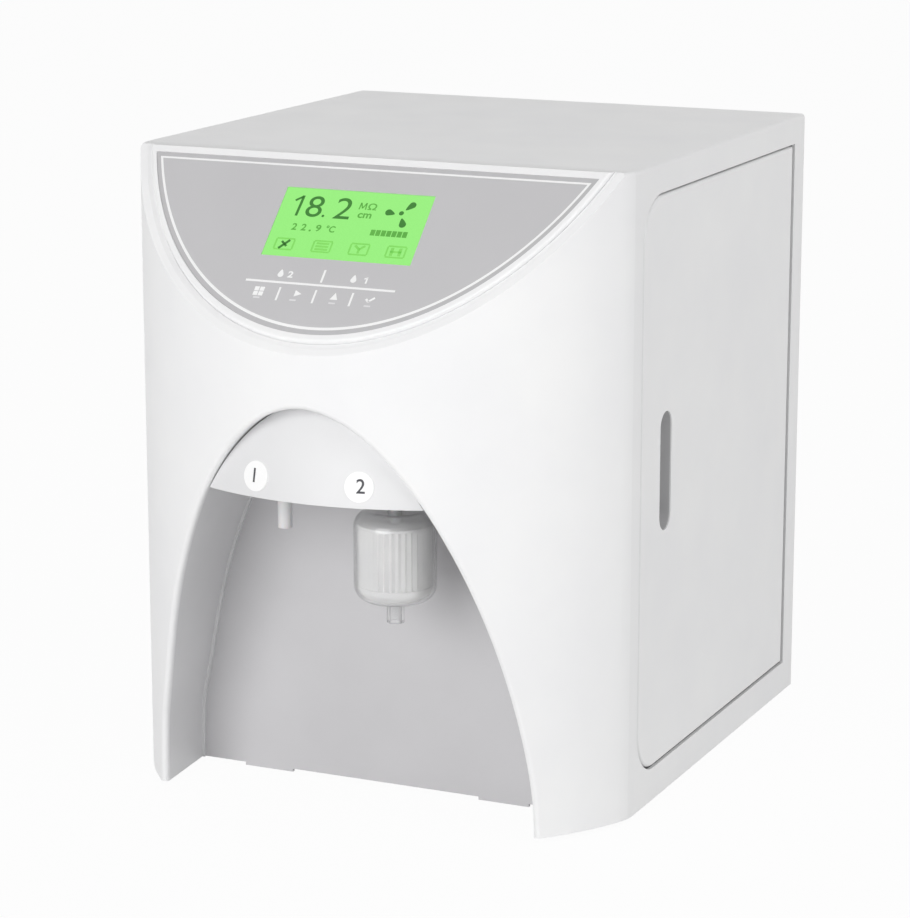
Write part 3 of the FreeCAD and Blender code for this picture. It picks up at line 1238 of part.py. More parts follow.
def process_tubing():
    """Hoses from the ports through the cartridges and the ultraviolet chamber to the two outlets."""
    barb = HOOD_FLOOR + FLANGE_THICKNESS + BARB_LENGTH
    outlet = OUTLET_SPACING / 2
    lead_in = OUTLET_Y / 2
    nipple_x = SERVICE_WALL_X - NIPPLE_LENGTH
    nipple_z = MANIFOLD_BOTTOM + MANIFOLD_THICKNESS / 2
    uv_end = UV_X - UV_RADIUS - NIPPLE_LENGTH
    uv_high = UV_BOTTOM + UV_LENGTH - UV_PORT_INSET
    uv_low = UV_BOTTOM + UV_PORT_INSET
    pump_y = HEAD_FRONT + PUMP_HEAD_LENGTH / 2
    pump_top = PUMP_Z + PUMP_HEAD_RADIUS + NIPPLE_LENGTH
    valve_z = VALVE_Z + VALVE_BODY / 2
    valve_end = SERVICE_WALL_X - VALVE_BODY - NIPPLE_LENGTH / 2
    switch_end = SERVICE_WALL_X - SWITCH_LENGTH - NIPPLE_LENGTH / 2
    port_end = REAR_INNER - PORT_INNER
    aisle = SUPPLY_RIGHT + SUPPLY_AISLE / 2
    suction, delivery = PUMP_X - PUMP_PORT_SPREAD, PUMP_X + PUMP_PORT_SPREAD
    runs = [
        # product water from the membrane to the plain outlet
        [(-outlet, OUTLET_Y, barb), (-outlet, OUTLET_Y, TUBE_LEVEL), (-TUBE_SPREAD, lead_in, TUBE_LEVEL),
         (-TUBE_SPREAD, CARTRIDGE_ROW[2], TUBE_LEVEL), (-TUBE_SPREAD, CARTRIDGE_ROW[2], nipple_z),
         (nipple_x, CARTRIDGE_ROW[2], nipple_z)],
        # polished water from the ultraviolet chamber to the final filter
        [(outlet, OUTLET_Y, barb), (outlet, OUTLET_Y, TUBE_LEVEL), (TUBE_SPREAD, lead_in, TUBE_LEVEL),
         (TUBE_SPREAD, UV_Y - PRODUCT_LEAD, TUBE_LEVEL), (uv_end - PRODUCT_SIDE, UV_Y, TUBE_LEVEL),
         (uv_end - PRODUCT_SIDE, UV_Y, uv_high), (uv_end, UV_Y, uv_high)],
        # polishing cartridge to the ultraviolet chamber
        [(nipple_x, UV_Y, nipple_z), (uv_end - RETURN_SIDE, UV_Y, nipple_z),
         (uv_end - RETURN_SIDE, UV_Y, uv_low), (uv_end, UV_Y, uv_low)],
        # feed port to the inlet valve
        [(PORT_X, port_end, PORT_Z), (PORT_X, port_end - FEED_LEAD, PORT_Z),
         (aisle, port_end - FEED_LEAD, PORT_Z), (aisle, port_end - FEED_LEAD, FEED_LEVEL),
         (aisle, VALVE_Y, FEED_LEVEL),
         (valve_end - VALVE_LEAD, VALVE_Y, FEED_LEVEL), (valve_end - VALVE_LEAD, VALVE_Y, valve_z),
         (valve_end, VALVE_Y, valve_z)],
        # carbon cartridge to the pump
        [(suction, pump_y, pump_top), (suction, pump_y, pump_top + SUCTION_RISE),
         (suction, CARTRIDGE_ROW[1], pump_top + SUCTION_RISE), (suction, CARTRIDGE_ROW[1], nipple_z),
         (nipple_x, CARTRIDGE_ROW[1], nipple_z)],
        # pump to the pressure switch
        [(delivery, pump_y, pump_top), (delivery, pump_y, pump_top + DELIVERY_RISE),
         (switch_end - SWITCH_LEAD, pump_y, pump_top + DELIVERY_RISE),
         (switch_end - SWITCH_LEAD, pump_y, valve_z), (switch_end, pump_y, valve_z)],
    ]
    return Part.makeCompound([hose(run) for run in runs])


# ---------------------------------------------------------------- rear panel
def rear_panel():
    """Rear sheet with vent slots and the cut-outs for inlet and ports."""
    x = INNER_HALF - FIT_GAP
    sheet = round_top(box((-x, x), (REAR_INNER, REAR_FACE), (0, CABINET_HEIGHT - SHEET - FIT_GAP)), FIT_GAP)
    for side in (-1, 1):
        for row in range(VENT_ROWS):
            z = VENT_BOTTOM + row * VENT_PITCH
            middle = side * VENT_X
            sheet = sheet.cut(box((middle - VENT_LENGTH / 2, middle + VENT_LENGTH / 2),
                                  (REAR_INNER - 1, REAR_FACE + 1), (z, z + VENT_HEIGHT)))
    body_x = INLET_WIDTH / 2 - INLET_WALL + FIT_GAP
    body_z = INLET_HEIGHT / 2 - INLET_WALL + FIT_GAP
    sheet = sheet.cut(box((INLET_X - body_x, INLET_X + body_x), (REAR_INNER - 1, REAR_FACE + 1),
                          (INLET_Z - body_z, INLET_Z + body_z)))
    for px in port_places():
        sheet = sheet.cut(rod(PORT_RADIUS + FIT_GAP, (px, REAR_INNER - 1, PORT_Z),
                              (px, REAR_FACE + 1, PORT_Z)))
    for place in rear_screw_places():
        sheet = sheet.cut(screw_hole(place))
    return sheet


def port_places():
    """X of the three tube ports."""
    return [PORT_X + i * PORT_PITCH for i in range(PORT_COUNT)]


def bulkhead_ports():
    """Push-in tube ports: hexagon outside, threaded body through the panel."""
    solids = []
    end = CABINET_DEPTH + PORT_REACH
    for x in port_places():
        body = rod(PORT_RADIUS, (x, REAR_INNER - PORT_INNER, PORT_Z), (x, end, PORT_Z))
        hexa = hexagon(PORT_HEX, (x, REAR_FACE, PORT_Z), (x, REAR_FACE + PORT_NUT, PORT_Z))
        port = join([body, hexa])
        port = port.cut(rod(PORT_BORE, (x, end - PORT_BORE_DEPTH, PORT_Z), (x, end + 1, PORT_Z)))
        port = port.cut(rod(NOZZLE_BORE, (x, REAR_INNER - PORT_INNER - 1, PORT_Z), (x, end, PORT_Z)))
        solids.append(port)
    return Part.makeCompound(solids)


def port_nuts():
    """Locknuts inside the rear panel."""
    solids = []
    for x in port_places():
        nut = hexagon(PORT_HEX, (x, REAR_INNER - PORT_NUT, PORT_Z), (x, REAR_INNER, PORT_Z))
        solids.append(nut.cut(rod(PORT_RADIUS, (x, 0, PORT_Z), (x, FAR, PORT_Z))))
    return Part.makeCompound(solids)


SOCKET_Z = INLET_Z - INLET_HEIGHT / 2 + INLET_WALL + SOCKET_LEDGE + SOCKET_HEIGHT / 2
DRAWER_Z = SOCKET_Z + SOCKET_HEIGHT / 2 + DRAWER_LEDGE + DRAWER_HEIGHT / 2
ROCKER_Z = DRAWER_Z + DRAWER_HEIGHT / 2 + ROCKER_LEDGE + ROCKER_WIDTH / 2
MODULE_FACE = REAR_FACE + INLET_FLANGE
ROCKER_Y = MODULE_FACE - TRUNNION_SETBACK


def power_inlet():
    """Inlet module: mains socket, fuse drawer bay and switch bay in one moulding."""
    flange = box((INLET_X - INLET_WIDTH / 2, INLET_X + INLET_WIDTH / 2), (REAR_FACE, MODULE_FACE),
                 (INLET_Z - INLET_HEIGHT / 2, INLET_Z + INLET_HEIGHT / 2))
    x, z = INLET_WIDTH / 2 - INLET_WALL, INLET_HEIGHT / 2 - INLET_WALL
    body = box((INLET_X - x, INLET_X + x), (REAR_FACE - INLET_DEPTH, REAR_FACE), (INLET_Z - z, INLET_Z + z))
    module = join([flange, body])
    width, height = SOCKET_WIDTH / 2, SOCKET_HEIGHT / 2
    socket = box((INLET_X - width, INLET_X + width), (MODULE_FACE - SOCKET_DEPTH, MODULE_FACE + 1),
                 (SOCKET_Z - height, SOCKET_Z + height))

    def upper_corner(edge):
        middle = edge.CenterOfMass
        return abs(edge.Length - SOCKET_DEPTH - 1) < 1e-6 and middle.z > SOCKET_Z
    socket = socket.makeChamfer(SOCKET_CHAMFER, [edge for edge in socket.Edges if upper_corner(edge)])
    module = module.cut(socket)
    width, height = DRAWER_WIDTH / 2 + DRAWER_GAP, DRAWER_HEIGHT / 2 + DRAWER_GAP
    module = module.cut(box((INLET_X - width, INLET_X + width),
                            (MODULE_FACE - DRAWER_LENGTH - DRAWER_GAP, MODULE_FACE + 1),
                            (DRAWER_Z - height, DRAWER_Z + height)))
    width, height = ROCKER_LENGTH / 2 + DRAWER_GAP, ROCKER_WIDTH / 2 + DRAWER_GAP
    module = module.cut(box((INLET_X - width, INLET_X + width),
                            (MODULE_FACE - ROCKER_DEPTH - 1, MODULE_FACE + 1),
                            (ROCKER_Z - height, ROCKER_Z + height)))
    reach = height + TRUNNION_LENGTH + DRAWER_GAP
    return module.cut(rod(TRUNNION_RADIUS + RUNNING_GAP, (INLET_X, ROCKER_Y, ROCKER_Z - reach),
                          (INLET_X, ROCKER_Y, ROCKER_Z + reach)))


def inlet_blades():
    """Three contact blades standing in the mains socket."""
    floor = MODULE_FACE - SOCKET_DEPTH
    solids = []
    for x, z in ((-BLADE_SPACING, -BLADE_RISE), (0, BLADE_RISE), (BLADE_SPACING, -BLADE_RISE)):
        solids.append(box((INLET_X + x - BLADE_THICKNESS / 2, INLET_X + x + BLADE_THICKNESS / 2),
                          (floor, floor + BLADE_LENGTH),
                          (SOCKET_Z + z - BLADE_WIDTH / 2, SOCKET_Z + z + BLADE_WIDTH / 2)))
    return Part.makeCompound(solids)


def fuse_drawer():
    """Small drawer for the fuses, its face resting on the module."""
    width, height = DRAWER_WIDTH / 2, DRAWER_HEIGHT / 2
    tray = box((INLET_X - width, INLET_X + width), (MODULE_FACE - DRAWER_LENGTH, MODULE_FACE),
               (DRAWER_Z - height, DRAWER_Z + height))
    wall = DRAWER_WALL
    well = box((INLET_X - width + wall, INLET_X + width - wall),
               (MODULE_FACE - DRAWER_LENGTH + wall, MODULE_FACE - wall),
               (DRAWER_Z - height + wall, DRAWER_Z + height + 1))
    lip = DRAWER_LIP
    face = box((INLET_X - width - lip, INLET_X + width + lip), (MODULE_FACE, MODULE_FACE + DRAWER_FACE),
               (DRAWER_Z - height - lip, DRAWER_Z + height + lip))
    return join([tray.cut(well), face])


def power_rocker():
    """Switch rocker: a round body with a shallow V on top, on two trunnions."""
    radius = ROCKER_LENGTH / 2 - FIT_GAP
    width = ROCKER_WIDTH / 2
    drum = rod(radius, (0, 0, -width), (0, 0, width))
    wing = ROCKER_RISE + FAR * math.tan(math.radians(ROCKER_TILT))
    keep = [V(x, y, -width) for x, y in ((-FAR, -FAR), (FAR, -FAR), (FAR, wing), (0, ROCKER_RISE),
                                         (-FAR, wing), (-FAR, -FAR))]
    drum = drum.common(Part.Face(Part.makePolygon(keep)).extrude(V(0, 0, 2 * width)))
    reach = width + TRUNNION_LENGTH
    body = join([drum, rod(TRUNNION_RADIUS, (0, 0, -reach), (0, 0, reach))])
    body.rotate(V(0, 0, 0), V(0, 0, 1), ROCKER_TILT)
    body.translate(V(INLET_X, ROCKER_Y, ROCKER_Z))
    return body


# ---------------------------------------------------------------- build
def main():
    os.makedirs("parts", exist_ok=True)
    outside = envelope()
    pieces = {
        "cabinet_shell": cabinet_shell(outside),
        "front_bulkhead": front_bulkhead(),
        "base_plate": base_plate(),
        "rubber_feet": feet(),
        "front_cover": front_cover(outside),
        "bay_liner": bay_liner(),
        "cover_posts": cover_posts(),
        "cover_screws": cover_screws(),
        "display_bezel": display_bezel(),
        "control_overlay": control_overlay(),
        "key_domes": key_domes(),
        "screen_glass": screen_glass(),
        "display_module": display_module(),
        "outlet_hood": outlet_hood(),
        "outlet_labels": outlet_labels(),
        "ro_nozzle": ro_nozzle(),
        "filter_spigot": filter_spigot(),
        "final_filter_shell": filter_shell(),
        "final_filter_core": filter_core(),
        "door_frame": door_frame(),
        "hinge_pins": hinge_pins(),
        "side_door": side_door(),
        "door_pull": door_pull(),
        "door_strikers": door_strikers(),
        "door_magnets": door_magnets(),
        "filter_manifold": filter_manifold(),
        "cartridge_clips": cartridge_clips(),
        "service_wall": service_wall(),
        "pump_motor": pump_motor(),
        "pump_head": pump_head(),
        "pump_plate": pump_plate(),
        "pump_mounts": pump_mounts(),
        "uv_reactor": uv_reactor(),
        "uv_caps": uv_caps(),
        "uv_clips": uv_clips(),
        "power_supply": power_supply(),
        "control_board": control_board(),
        "board_standoffs": board_standoffs(),
        "solenoid_valves": solenoid_valves(),
        "pressure_switch": pressure_switch(),
        "conductivity_cell": conductivity_cell(),
        "process_tubing": process_tubing(),
        "rear_panel": rear_panel(),
        "rear_screws": screws(rear_screw_places()),
        "base_screws": screws(base_screw_places()),
        "bulkhead_ports": bulkhead_ports(),
        "port_nuts": port_nuts(),
        "power_inlet": power_inlet(),
        "inlet_blades": inlet_blades(),
        "fuse_drawer": fuse_drawer(),
        "power_rocker": power_rocker(),
    }
    names = ["sediment_cartridge", "carbon_cartridge", "membrane_cartridge", "polishing_cartridge"]
    for name, y in zip(names, CARTRIDGE_ROW):
        pieces[name] = cartridge(y)
    for node, shape in pieces.items():
        save(node, shape)


main()
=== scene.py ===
import math

import bmesh
import bpy
from mathutils import Matrix, Vector


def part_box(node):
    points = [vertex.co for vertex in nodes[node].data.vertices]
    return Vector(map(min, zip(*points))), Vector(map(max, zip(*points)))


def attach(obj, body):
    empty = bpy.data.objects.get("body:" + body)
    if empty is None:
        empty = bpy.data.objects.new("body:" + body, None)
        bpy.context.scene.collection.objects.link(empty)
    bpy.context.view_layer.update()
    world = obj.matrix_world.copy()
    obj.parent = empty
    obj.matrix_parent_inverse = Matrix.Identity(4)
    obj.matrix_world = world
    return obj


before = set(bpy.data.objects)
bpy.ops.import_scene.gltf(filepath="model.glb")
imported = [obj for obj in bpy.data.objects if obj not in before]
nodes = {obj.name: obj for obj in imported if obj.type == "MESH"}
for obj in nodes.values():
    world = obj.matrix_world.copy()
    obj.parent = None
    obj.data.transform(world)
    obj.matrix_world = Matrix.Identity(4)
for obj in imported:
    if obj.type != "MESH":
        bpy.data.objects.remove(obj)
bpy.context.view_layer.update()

# ------------------------------------------------------------ camera
# A long lens on a stand, a little above the bench top and to the right of the front.
# It looks slightly down and stands level from side to side.

camera_turn = math.radians(24.519)
camera_dip = math.radians(13.102)
camera_data = bpy.data.cameras.new("camera")
camera_data.lens = 124.80
camera_data.sensor_width = 36.0
camera_data.clip_end = 50.0
camera = bpy.data.objects.new("camera", camera_data)
camera.location = (0.906128, -1.985961, 0.714446)
camera.rotation_euler = (math.pi / 2 - camera_dip, 0.0, camera_turn)
bpy.context.scene.collection.objects.link(camera)
bpy.context.scene.camera = camera

# ------------------------------------------------------------ bench top and light
# A wide pale bench top that runs out to a white surround.  A large soft box stands low in
# front and a little to the left, another to the right and a weak one above, in dim even light.

bench_radius = 9.0
bench_tone = 0.75
white_share = 0.96
even_strength = 0.35
lamp_target = Vector((0, -0.05, 0.22))
lamp_distance = 3.0


def white_when_seen(tree, lit, glow, output, share=1.0):
    """Mix a share of the glow in for camera, mirror and glass rays, and leave the rest as lit."""
    path = tree.nodes.new("ShaderNodeLightPath")
    seen = path.outputs["Is Camera Ray"]
    for ray in ("Is Glossy Ray", "Is Transmission Ray"):
        larger = tree.nodes.new("ShaderNodeMath")
        larger.operation = "MAXIMUM"
        tree.links.new(seen, larger.inputs[0])
        tree.links.new(path.outputs[ray], larger.inputs[1])
        seen = larger.outputs[0]
    part = tree.nodes.new("ShaderNodeMath")
    part.operation = "MULTIPLY"
    part.inputs[1].default_value = share
    tree.links.new(seen, part.inputs[0])
    blend = tree.nodes.new("ShaderNodeMixShader")
    tree.links.new(part.outputs[0], blend.inputs["Fac"])
    tree.links.new(lit.outputs[0], blend.inputs[1])
    tree.links.new(glow.outputs[0], blend.inputs[2])
    tree.links.new(blend.outputs[0], tree.nodes[output].inputs["Surface"])


bench = bpy.data.materials.new("pale_bench")
bench.use_nodes = True
tree = bench.node_tree
principled = tree.nodes["Principled BSDF"]
principled.inputs["Base Color"].default_value = (bench_tone, bench_tone, bench_tone, 1)
principled.inputs["Roughness"].default_value = 0.9
principled.inputs["Specular IOR Level"].default_value = 0.1
glow = tree.nodes.new("ShaderNodeEmission")
glow.inputs["Color"].default_value = (1, 1, 1, 1)
white_when_seen(tree, principled, glow, "Material Output", white_share)

bm = bmesh.new()
bmesh.ops.create_circle(bm, cap_ends=True, segments=96, radius=bench_radius)
mesh = bpy.data.meshes.new("bench_top")
bm.to_mesh(mesh)
bm.free()
mesh.materials.append(bench)
floor = bpy.data.objects.new("bench_top", mesh)
bpy.context.scene.collection.objects.link(floor)

surround = bpy.data.worlds.new("even_surround")
bpy.context.scene.world = surround
surround.use_nodes = True
tree = surround.node_tree
even = tree.nodes["Background"]
even.inputs["Color"].default_value = (1, 1, 1, 1)
even.inputs["Strength"].default_value = even_strength
white = tree.nodes.new("ShaderNodeBackground")
white.inputs["Color"].default_value = (1, 1, 1, 1)
white.inputs["Strength"].default_value = 1.0
white_when_seen(tree, even, white, "World Output")


def soft_box(name, azimuth, elevation, size, power):
    """Square soft light, placed in degrees round the object and aimed at its middle."""
    data = bpy.data.lights.new(name, "AREA")
    data.shape = "SQUARE"
    data.size = size
    data.energy = power
    lamp = bpy.data.objects.new(name, data)
    az, el = math.radians(azimuth), math.radians(elevation)
    away = Vector((math.sin(az) * math.cos(el), -math.cos(az) * math.cos(el), math.sin(el)))
    lamp.location = lamp_target + away * lamp_distance
    lamp.rotation_euler = (math.pi / 2 - el, 0, az)
    bpy.context.scene.collection.objects.link(lamp)


soft_box("front_soft_box", azimuth=-9, elevation=11, size=2.2, power=55)
soft_box("right_soft_box", azimuth=81, elevation=20, size=2.0, power=28)
soft_box("top_soft_box", azimuth=20, elevation=78, size=3.0, power=6)

bpy.context.scene.view_settings.view_transform = "Standard"

# ------------------------------------------------------------ cabinet, side door and rear panel
# Folded steel sheet with a satin white powder coat, which dries with a very fine
# orange-peel skin.  The door hangs on two pins, and screws hold the rear panel.


def linear(tone):
    """Linear colour, with its alpha, of red, green and blue given from 0 to 255."""
    parts = [value / 255 for value in tone]
    return [p / 12.92 if p <= 0.04045 else ((p + 0.055) / 1.055) ** 2.4 for p in parts] + [1]


def wander_group():
    """Slow change over a surface between two values."""
    group = bpy.data.node_groups.new("wander", "ShaderNodeTree")
    for socket in ("Scale", "Low", "High"):
        group.interface.new_socket(socket, in_out="INPUT", socket_type="NodeSocketFloat")
    group.interface.new_socket("Value", in_out="OUTPUT", socket_type="NodeSocketFloat")
    inside = group.nodes.new("NodeGroupInput")
    outside = group.nodes.new("NodeGroupOutput")
    place = group.nodes.new("ShaderNodeTexCoord")
    cloud = group.nodes.new("ShaderNodeTexNoise")
    cloud.inputs["Detail"].default_value = 3.0
    spread = group.nodes.new("ShaderNodeMapRange")
    spread.inputs["From Min"].default_value = 0.3
    spread.inputs["From Max"].default_value = 0.7
    group.links.new(place.outputs["Object"], cloud.inputs["Vector"])
    group.links.new(inside.outputs["Scale"], cloud.inputs["Scale"])
    group.links.new(cloud.outputs["Fac"], spread.inputs["Value"])
    group.links.new(inside.outputs["Low"], spread.inputs["To Min"])
    group.links.new(inside.outputs["High"], spread.inputs["To Max"])
    group.links.new(spread.outputs["Result"], outside.inputs["Value"])
    return group


wander = wander_group()


def wandering(tree, scale, low, high):
    """The wander group placed in a material, with its own values."""
    place = tree.nodes.new("ShaderNodeGroup")
    place.node_tree = wander
    place.inputs["Scale"].default_value = scale
    place.inputs["Low"].default_value = low
    place.inputs["High"].default_value = high
    return place.outputs["Value"]


def finish(name, dark, light, rough, cloud_scale=14.0, grain=900.0, depth=0.00002, metal=0.0):
    """Material whose colour, roughness and fine skin all change a little over the surface.

    The roughness lies between two values, and the skin has its own scale and depth in metres.
    """
    material = bpy.data.materials.new(name)
    material.use_nodes = True
    tree = material.node_tree
    shader = tree.nodes["Principled BSDF"]
    shader.inputs["Metallic"].default_value = metal
    colour = tree.nodes.new("ShaderNodeMix")
    colour.data_type = "RGBA"
    colour.inputs["A"].default_value = linear(dark)
    colour.inputs["B"].default_value = linear(light)
    tree.links.new(wandering(tree, cloud_scale, 0.0, 1.0), colour.inputs["Factor"])
    tree.links.new(colour.outputs["Result"], shader.inputs["Base Color"])
    gloss_scale = cloud_scale * 3
    tree.links.new(wandering(tree, gloss_scale, *rough), shader.inputs["Roughness"])
    skin = tree.nodes.new("ShaderNodeBump")
    skin.inputs["Strength"].default_value = 1.0
    skin.inputs["Distance"].default_value = depth
    tree.links.new(wandering(tree, grain, 0.0, 1.0), skin.inputs["Height"])
    tree.links.new(skin.outputs["Normal"], shader.inputs["Normal"])
    return material


def dress(material, *names):
    """Give CAD nodes a finish."""
    for name in names:
        mesh = nodes[name].data
        mesh.materials.clear()
        mesh.materials.append(material)


powder_coat = finish("white_powder_coat", (241, 241, 242), (245, 245, 245), (0.3, 0.36),
                     grain=420.0, depth=0.000006)
dress(powder_coat, "cabinet_shell", "side_door", "rear_panel")

# ------------------------------------------------------------ front cover, bay liner, bezel and hood
# Injection-moulded white plastic with a fine satin gloss.  Screws from inside hold the
# cover to the bulkhead; the liner is clamped behind it and the hood sits in its top.


def set_sockets(material, values):
    """Constants on the shader's own sockets, by name."""
    sockets = material.node_tree.nodes["Principled BSDF"].inputs
    for socket, value in values.items():
        sockets[socket].default_value = value


white_moulding = finish("white_moulding", (245, 245, 246), (249, 249, 249), (0.42, 0.5),
                        grain=160.0, depth=0.000004)
set_sockets(white_moulding, {"Specular IOR Level": 0.15})
dress(white_moulding, "front_cover", "display_bezel")
# The hood and the bay liner take a darker copy of the white moulding: painted shade of the recessed bay.
recess_shaded_moulding = finish("recess_shaded_moulding", (226, 226, 227), (230, 230, 231), (0.36, 0.42),
                        grain=160.0, depth=0.000004)
dress(recess_shaded_moulding, "outlet_hood", "bay_liner")

# ------------------------------------------------------------ bulkhead
# Flat steel sheet with a light grey powder coat that closes the cabinet's front.  Screws go
# through it into the cover's posts, and its middle shows as the back wall of the bay.

grey_coat = finish("grey_powder_coat", (205, 204, 206), (210, 209, 211), (0.45, 0.55),
                   grain=420.0, depth=0.000006)
dress(grey_coat, "front_bulkhead")

# ------------------------------------------------------------ control film
# Grey polyester film, printed white from behind, glued into the bezel.  A white line
# runs round it inside a slightly darker edge, with bars and key marks under the screen.

cover_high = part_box("front_cover")[1]
face_setback = 0.0085
face_top = Vector((0, cover_high.y - face_setback, cover_high.z))
face_lean = math.radians(45)
ink_height = 0.00002

# On the slanted face itself, measures are in millimetres: across from its middle, down from
# its top edge, and outwards.  All figures and marks then move by print_shift.  Seen from
# above, the film's round edge has its middle film_circle_back behind the top edge.
film_circle_back = 80.9
film_top = 1.51
print_shift = (0.5, 0.6)
divider_row = 96.95
drop_row = 98.0
rule_row = 104.1
key_row = 113.0
underline_row = 117.0


def on_face(across, down, out):
    """Placement on the slanted face."""
    place = Matrix.Translation(face_top) @ Matrix.Rotation(face_lean, 4, "X")
    return place @ Matrix.Translation((across / 1000, -down / 1000, out / 1000))


def add_piece(name, bm, material, body="cabinet"):
    """Turn a bmesh into a piece that rides on a body and takes a finish."""
    bmesh.ops.recalc_face_normals(bm, faces=bm.faces[:])
    mesh = bpy.data.meshes.new(name)
    bm.to_mesh(mesh)
    bm.free()
    mesh.materials.append(material)
    piece = bpy.data.objects.new(name, mesh)
    bpy.context.scene.collection.objects.link(piece)
    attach(piece, body)


def thicken(bm):
    """Give flat print the height of its ink."""
    raised = bmesh.ops.extrude_face_region(bm, geom=bm.faces[:])
    verts = [part for part in raised["geom"] if isinstance(part, bmesh.types.BMVert)]
    bmesh.ops.translate(bm, verts=verts, vec=(0, 0, ink_height))


def d_line(bm, radius, top, steps=180):
    """Closed D-shaped line: seen from above, a circle cut off straight at a top edge."""
    centre = film_circle_back / math.sin(face_lean)
    tall = radius / math.sin(face_lean)
    reach = math.acos((centre + top) / tall)
    verts = []
    for step in range(steps + 1):
        turn = reach * (2 * step / steps - 1)
        across, up = radius * math.sin(turn), centre - tall * math.cos(turn)
        verts.append(bm.verts.new((across / 1000, up / 1000, 0)))
    return [bm.edges.new(pair) for pair in zip(verts, verts[1:] + verts[:1])]


def d_ring(name, outer, inner, out, material):
    """Ring laid flat on the face between two D-shaped lines, each given by its radius and its top edge."""
    bm = bmesh.new()
    bmesh.ops.bridge_loops(bm, edges=d_line(bm, *outer) + d_line(bm, *inner))
    thicken(bm)
    bmesh.ops.transform(bm, matrix=on_face(0, 0, out), verts=bm.verts[:])
    add_piece(name, bm, material)


film_grey = finish("grey_film", (196, 195, 197), (199, 198, 200), (0.36, 0.42),
                   grain=2500.0, depth=0.000004)
dress(film_grey, "control_overlay")
film_edge = finish("grey_film_edge", (189, 188, 190), (193, 192, 194), (0.36, 0.42),
                   grain=2500.0, depth=0.000004)
white_print = finish("white_print", (246, 246, 246), (252, 252, 252), (0.4, 0.46),
                     grain=2500.0, depth=0.000003)
pale_print = finish("pale_print", (222, 221, 223), (228, 227, 229), (0.4, 0.46),
                    grain=2500.0, depth=0.000003)
# film_dark_edge is a band a little darker than the film, along its edge next to the bezel's rim.
d_ring("film_dark_edge", outer=(181.7, 7.5), inner=(178.8, 11.2), out=film_top, material=film_edge)
d_ring("film_white_line", outer=(179.2, 10.7), inner=(177.7, 12.2), out=film_top + 0.01,
       material=white_print)


def bar(bm, across, down, wide, tall):
    """Rectangle on the face, given by its middle and its size."""
    made = bmesh.ops.create_grid(bm, x_segments=1, y_segments=1, size=0.5)["verts"]
    bmesh.ops.scale(bm, verts=made, vec=(wide / 1000, tall / 1000, 1))
    bmesh.ops.translate(bm, verts=made, vec=(across / 1000, -down / 1000, 0))


def stroke(bm, start, end, width):
    """Straight stroke between two points on the face."""
    run, rise = end[0] - start[0], start[1] - end[1]
    length = math.hypot(run, rise)
    made = bmesh.ops.create_grid(bm, x_segments=1, y_segments=1, size=0.5)["verts"]
    bmesh.ops.scale(bm, verts=made, vec=(length / 1000, width / 1000, 1))
    slope = Matrix.Rotation(math.atan2(rise, run), 3, "Z")
    bmesh.ops.rotate(bm, verts=made, cent=(0, 0, 0), matrix=slope)
    middle = ((start[0] + end[0]) / 2000, -(start[1] + end[1]) / 2000, 0)
    bmesh.ops.translate(bm, verts=made, vec=middle)


def wedge(bm, *corners):
    """Solid triangle given by its corners on the face."""
    bm.faces.new([bm.verts.new((across / 1000, -down / 1000, 0)) for across, down in corners])


def print_layer(name, bm, out, material):
    """Fix flat print on the face at a height."""
    thicken(bm)
    bmesh.ops.transform(bm, matrix=on_face(*print_shift, out), verts=bm.verts[:])
    add_piece(name, bm, material)


bm = bmesh.new()
bar(bm, -4.1, rule_row, wide=106.6, tall=1.6)
bar(bm, -4.05, divider_row, wide=1.5, tall=9.9)
for across in (-30.8, -5.0, 21.2):
    bar(bm, across, key_row, wide=1.4, tall=10.4)
print_layer("film_lines", bm, film_top, white_print)

bm = bmesh.new()
for across in (-47.0, -43.2):
    for down in (110.2, 113.9):
        bar(bm, across, down, wide=3.2, tall=3.2)
wedge(bm, (-19.3, 109.2), (-19.3, 114.2), (-14.4, 111.8))
wedge(bm, (6.4, 114.2), (11.8, 114.2), (9.2, 108.8))
stroke(bm, (31.4, 111.6), (33.6, 113.8), width=1.5)
stroke(bm, (33.2, 113.8), (37.2, 110.2), width=1.5)
print_layer("key_marks", bm, film_top, white_print)

bm = bmesh.new()
for across in (-45.1, -19.0, 8.9, 33.8):
    bar(bm, across, underline_row, wide=4.6, tall=1.2)
print_layer("key_underlines", bm, film_top, pale_print)


def set_type(words, size=1.0, bold=0.0, depth=0.01):
    """Bmesh of plain type, closed all round, lying flat at the origin."""
    curve = bpy.data.curves.new("type", "FONT")
    curve.body = words
    curve.align_x = "CENTER"
    curve.align_y = "CENTER"
    curve.size = size
    curve.offset = bold
    curve.extrude = depth
    source = bpy.data.objects.new("type", curve)
    mesh = bpy.data.meshes.new_from_object(source)
    bpy.data.objects.remove(source)
    bpy.data.curves.remove(curve)
    bm = bmesh.new()
    bm.from_mesh(mesh)
    bpy.data.meshes.remove(mesh)
    bmesh.ops.remove_doubles(bm, verts=bm.verts[:], dist=size * 0.000001)
    return bm


def letter(name, words, box, out, material, bold=0.0):
    """Plain figures set to fill a box on the face: left, right, top and foot."""
    bm = set_type(words, bold=bold)
    low = Vector([min(vert.co[axis] for vert in bm.verts) for axis in range(3)])
    high = Vector([max(vert.co[axis] for vert in bm.verts) for axis in range(3)])
    left, right, top, foot = [side / 1000 for side in box]
    wanted = (right - left, foot - top, ink_height / 2)
    fit = [size / (high - low)[axis] for axis, size in enumerate(wanted)]
    bmesh.ops.translate(bm, verts=bm.verts[:], vec=-low)
    bmesh.ops.scale(bm, verts=bm.verts[:], vec=fit)
    bmesh.ops.translate(bm, verts=bm.verts[:], vec=(left, -foot, 0))
    bmesh.ops.transform(bm, matrix=on_face(*print_shift, out), verts=bm.verts[:])
    add_piece(name, bm, material)


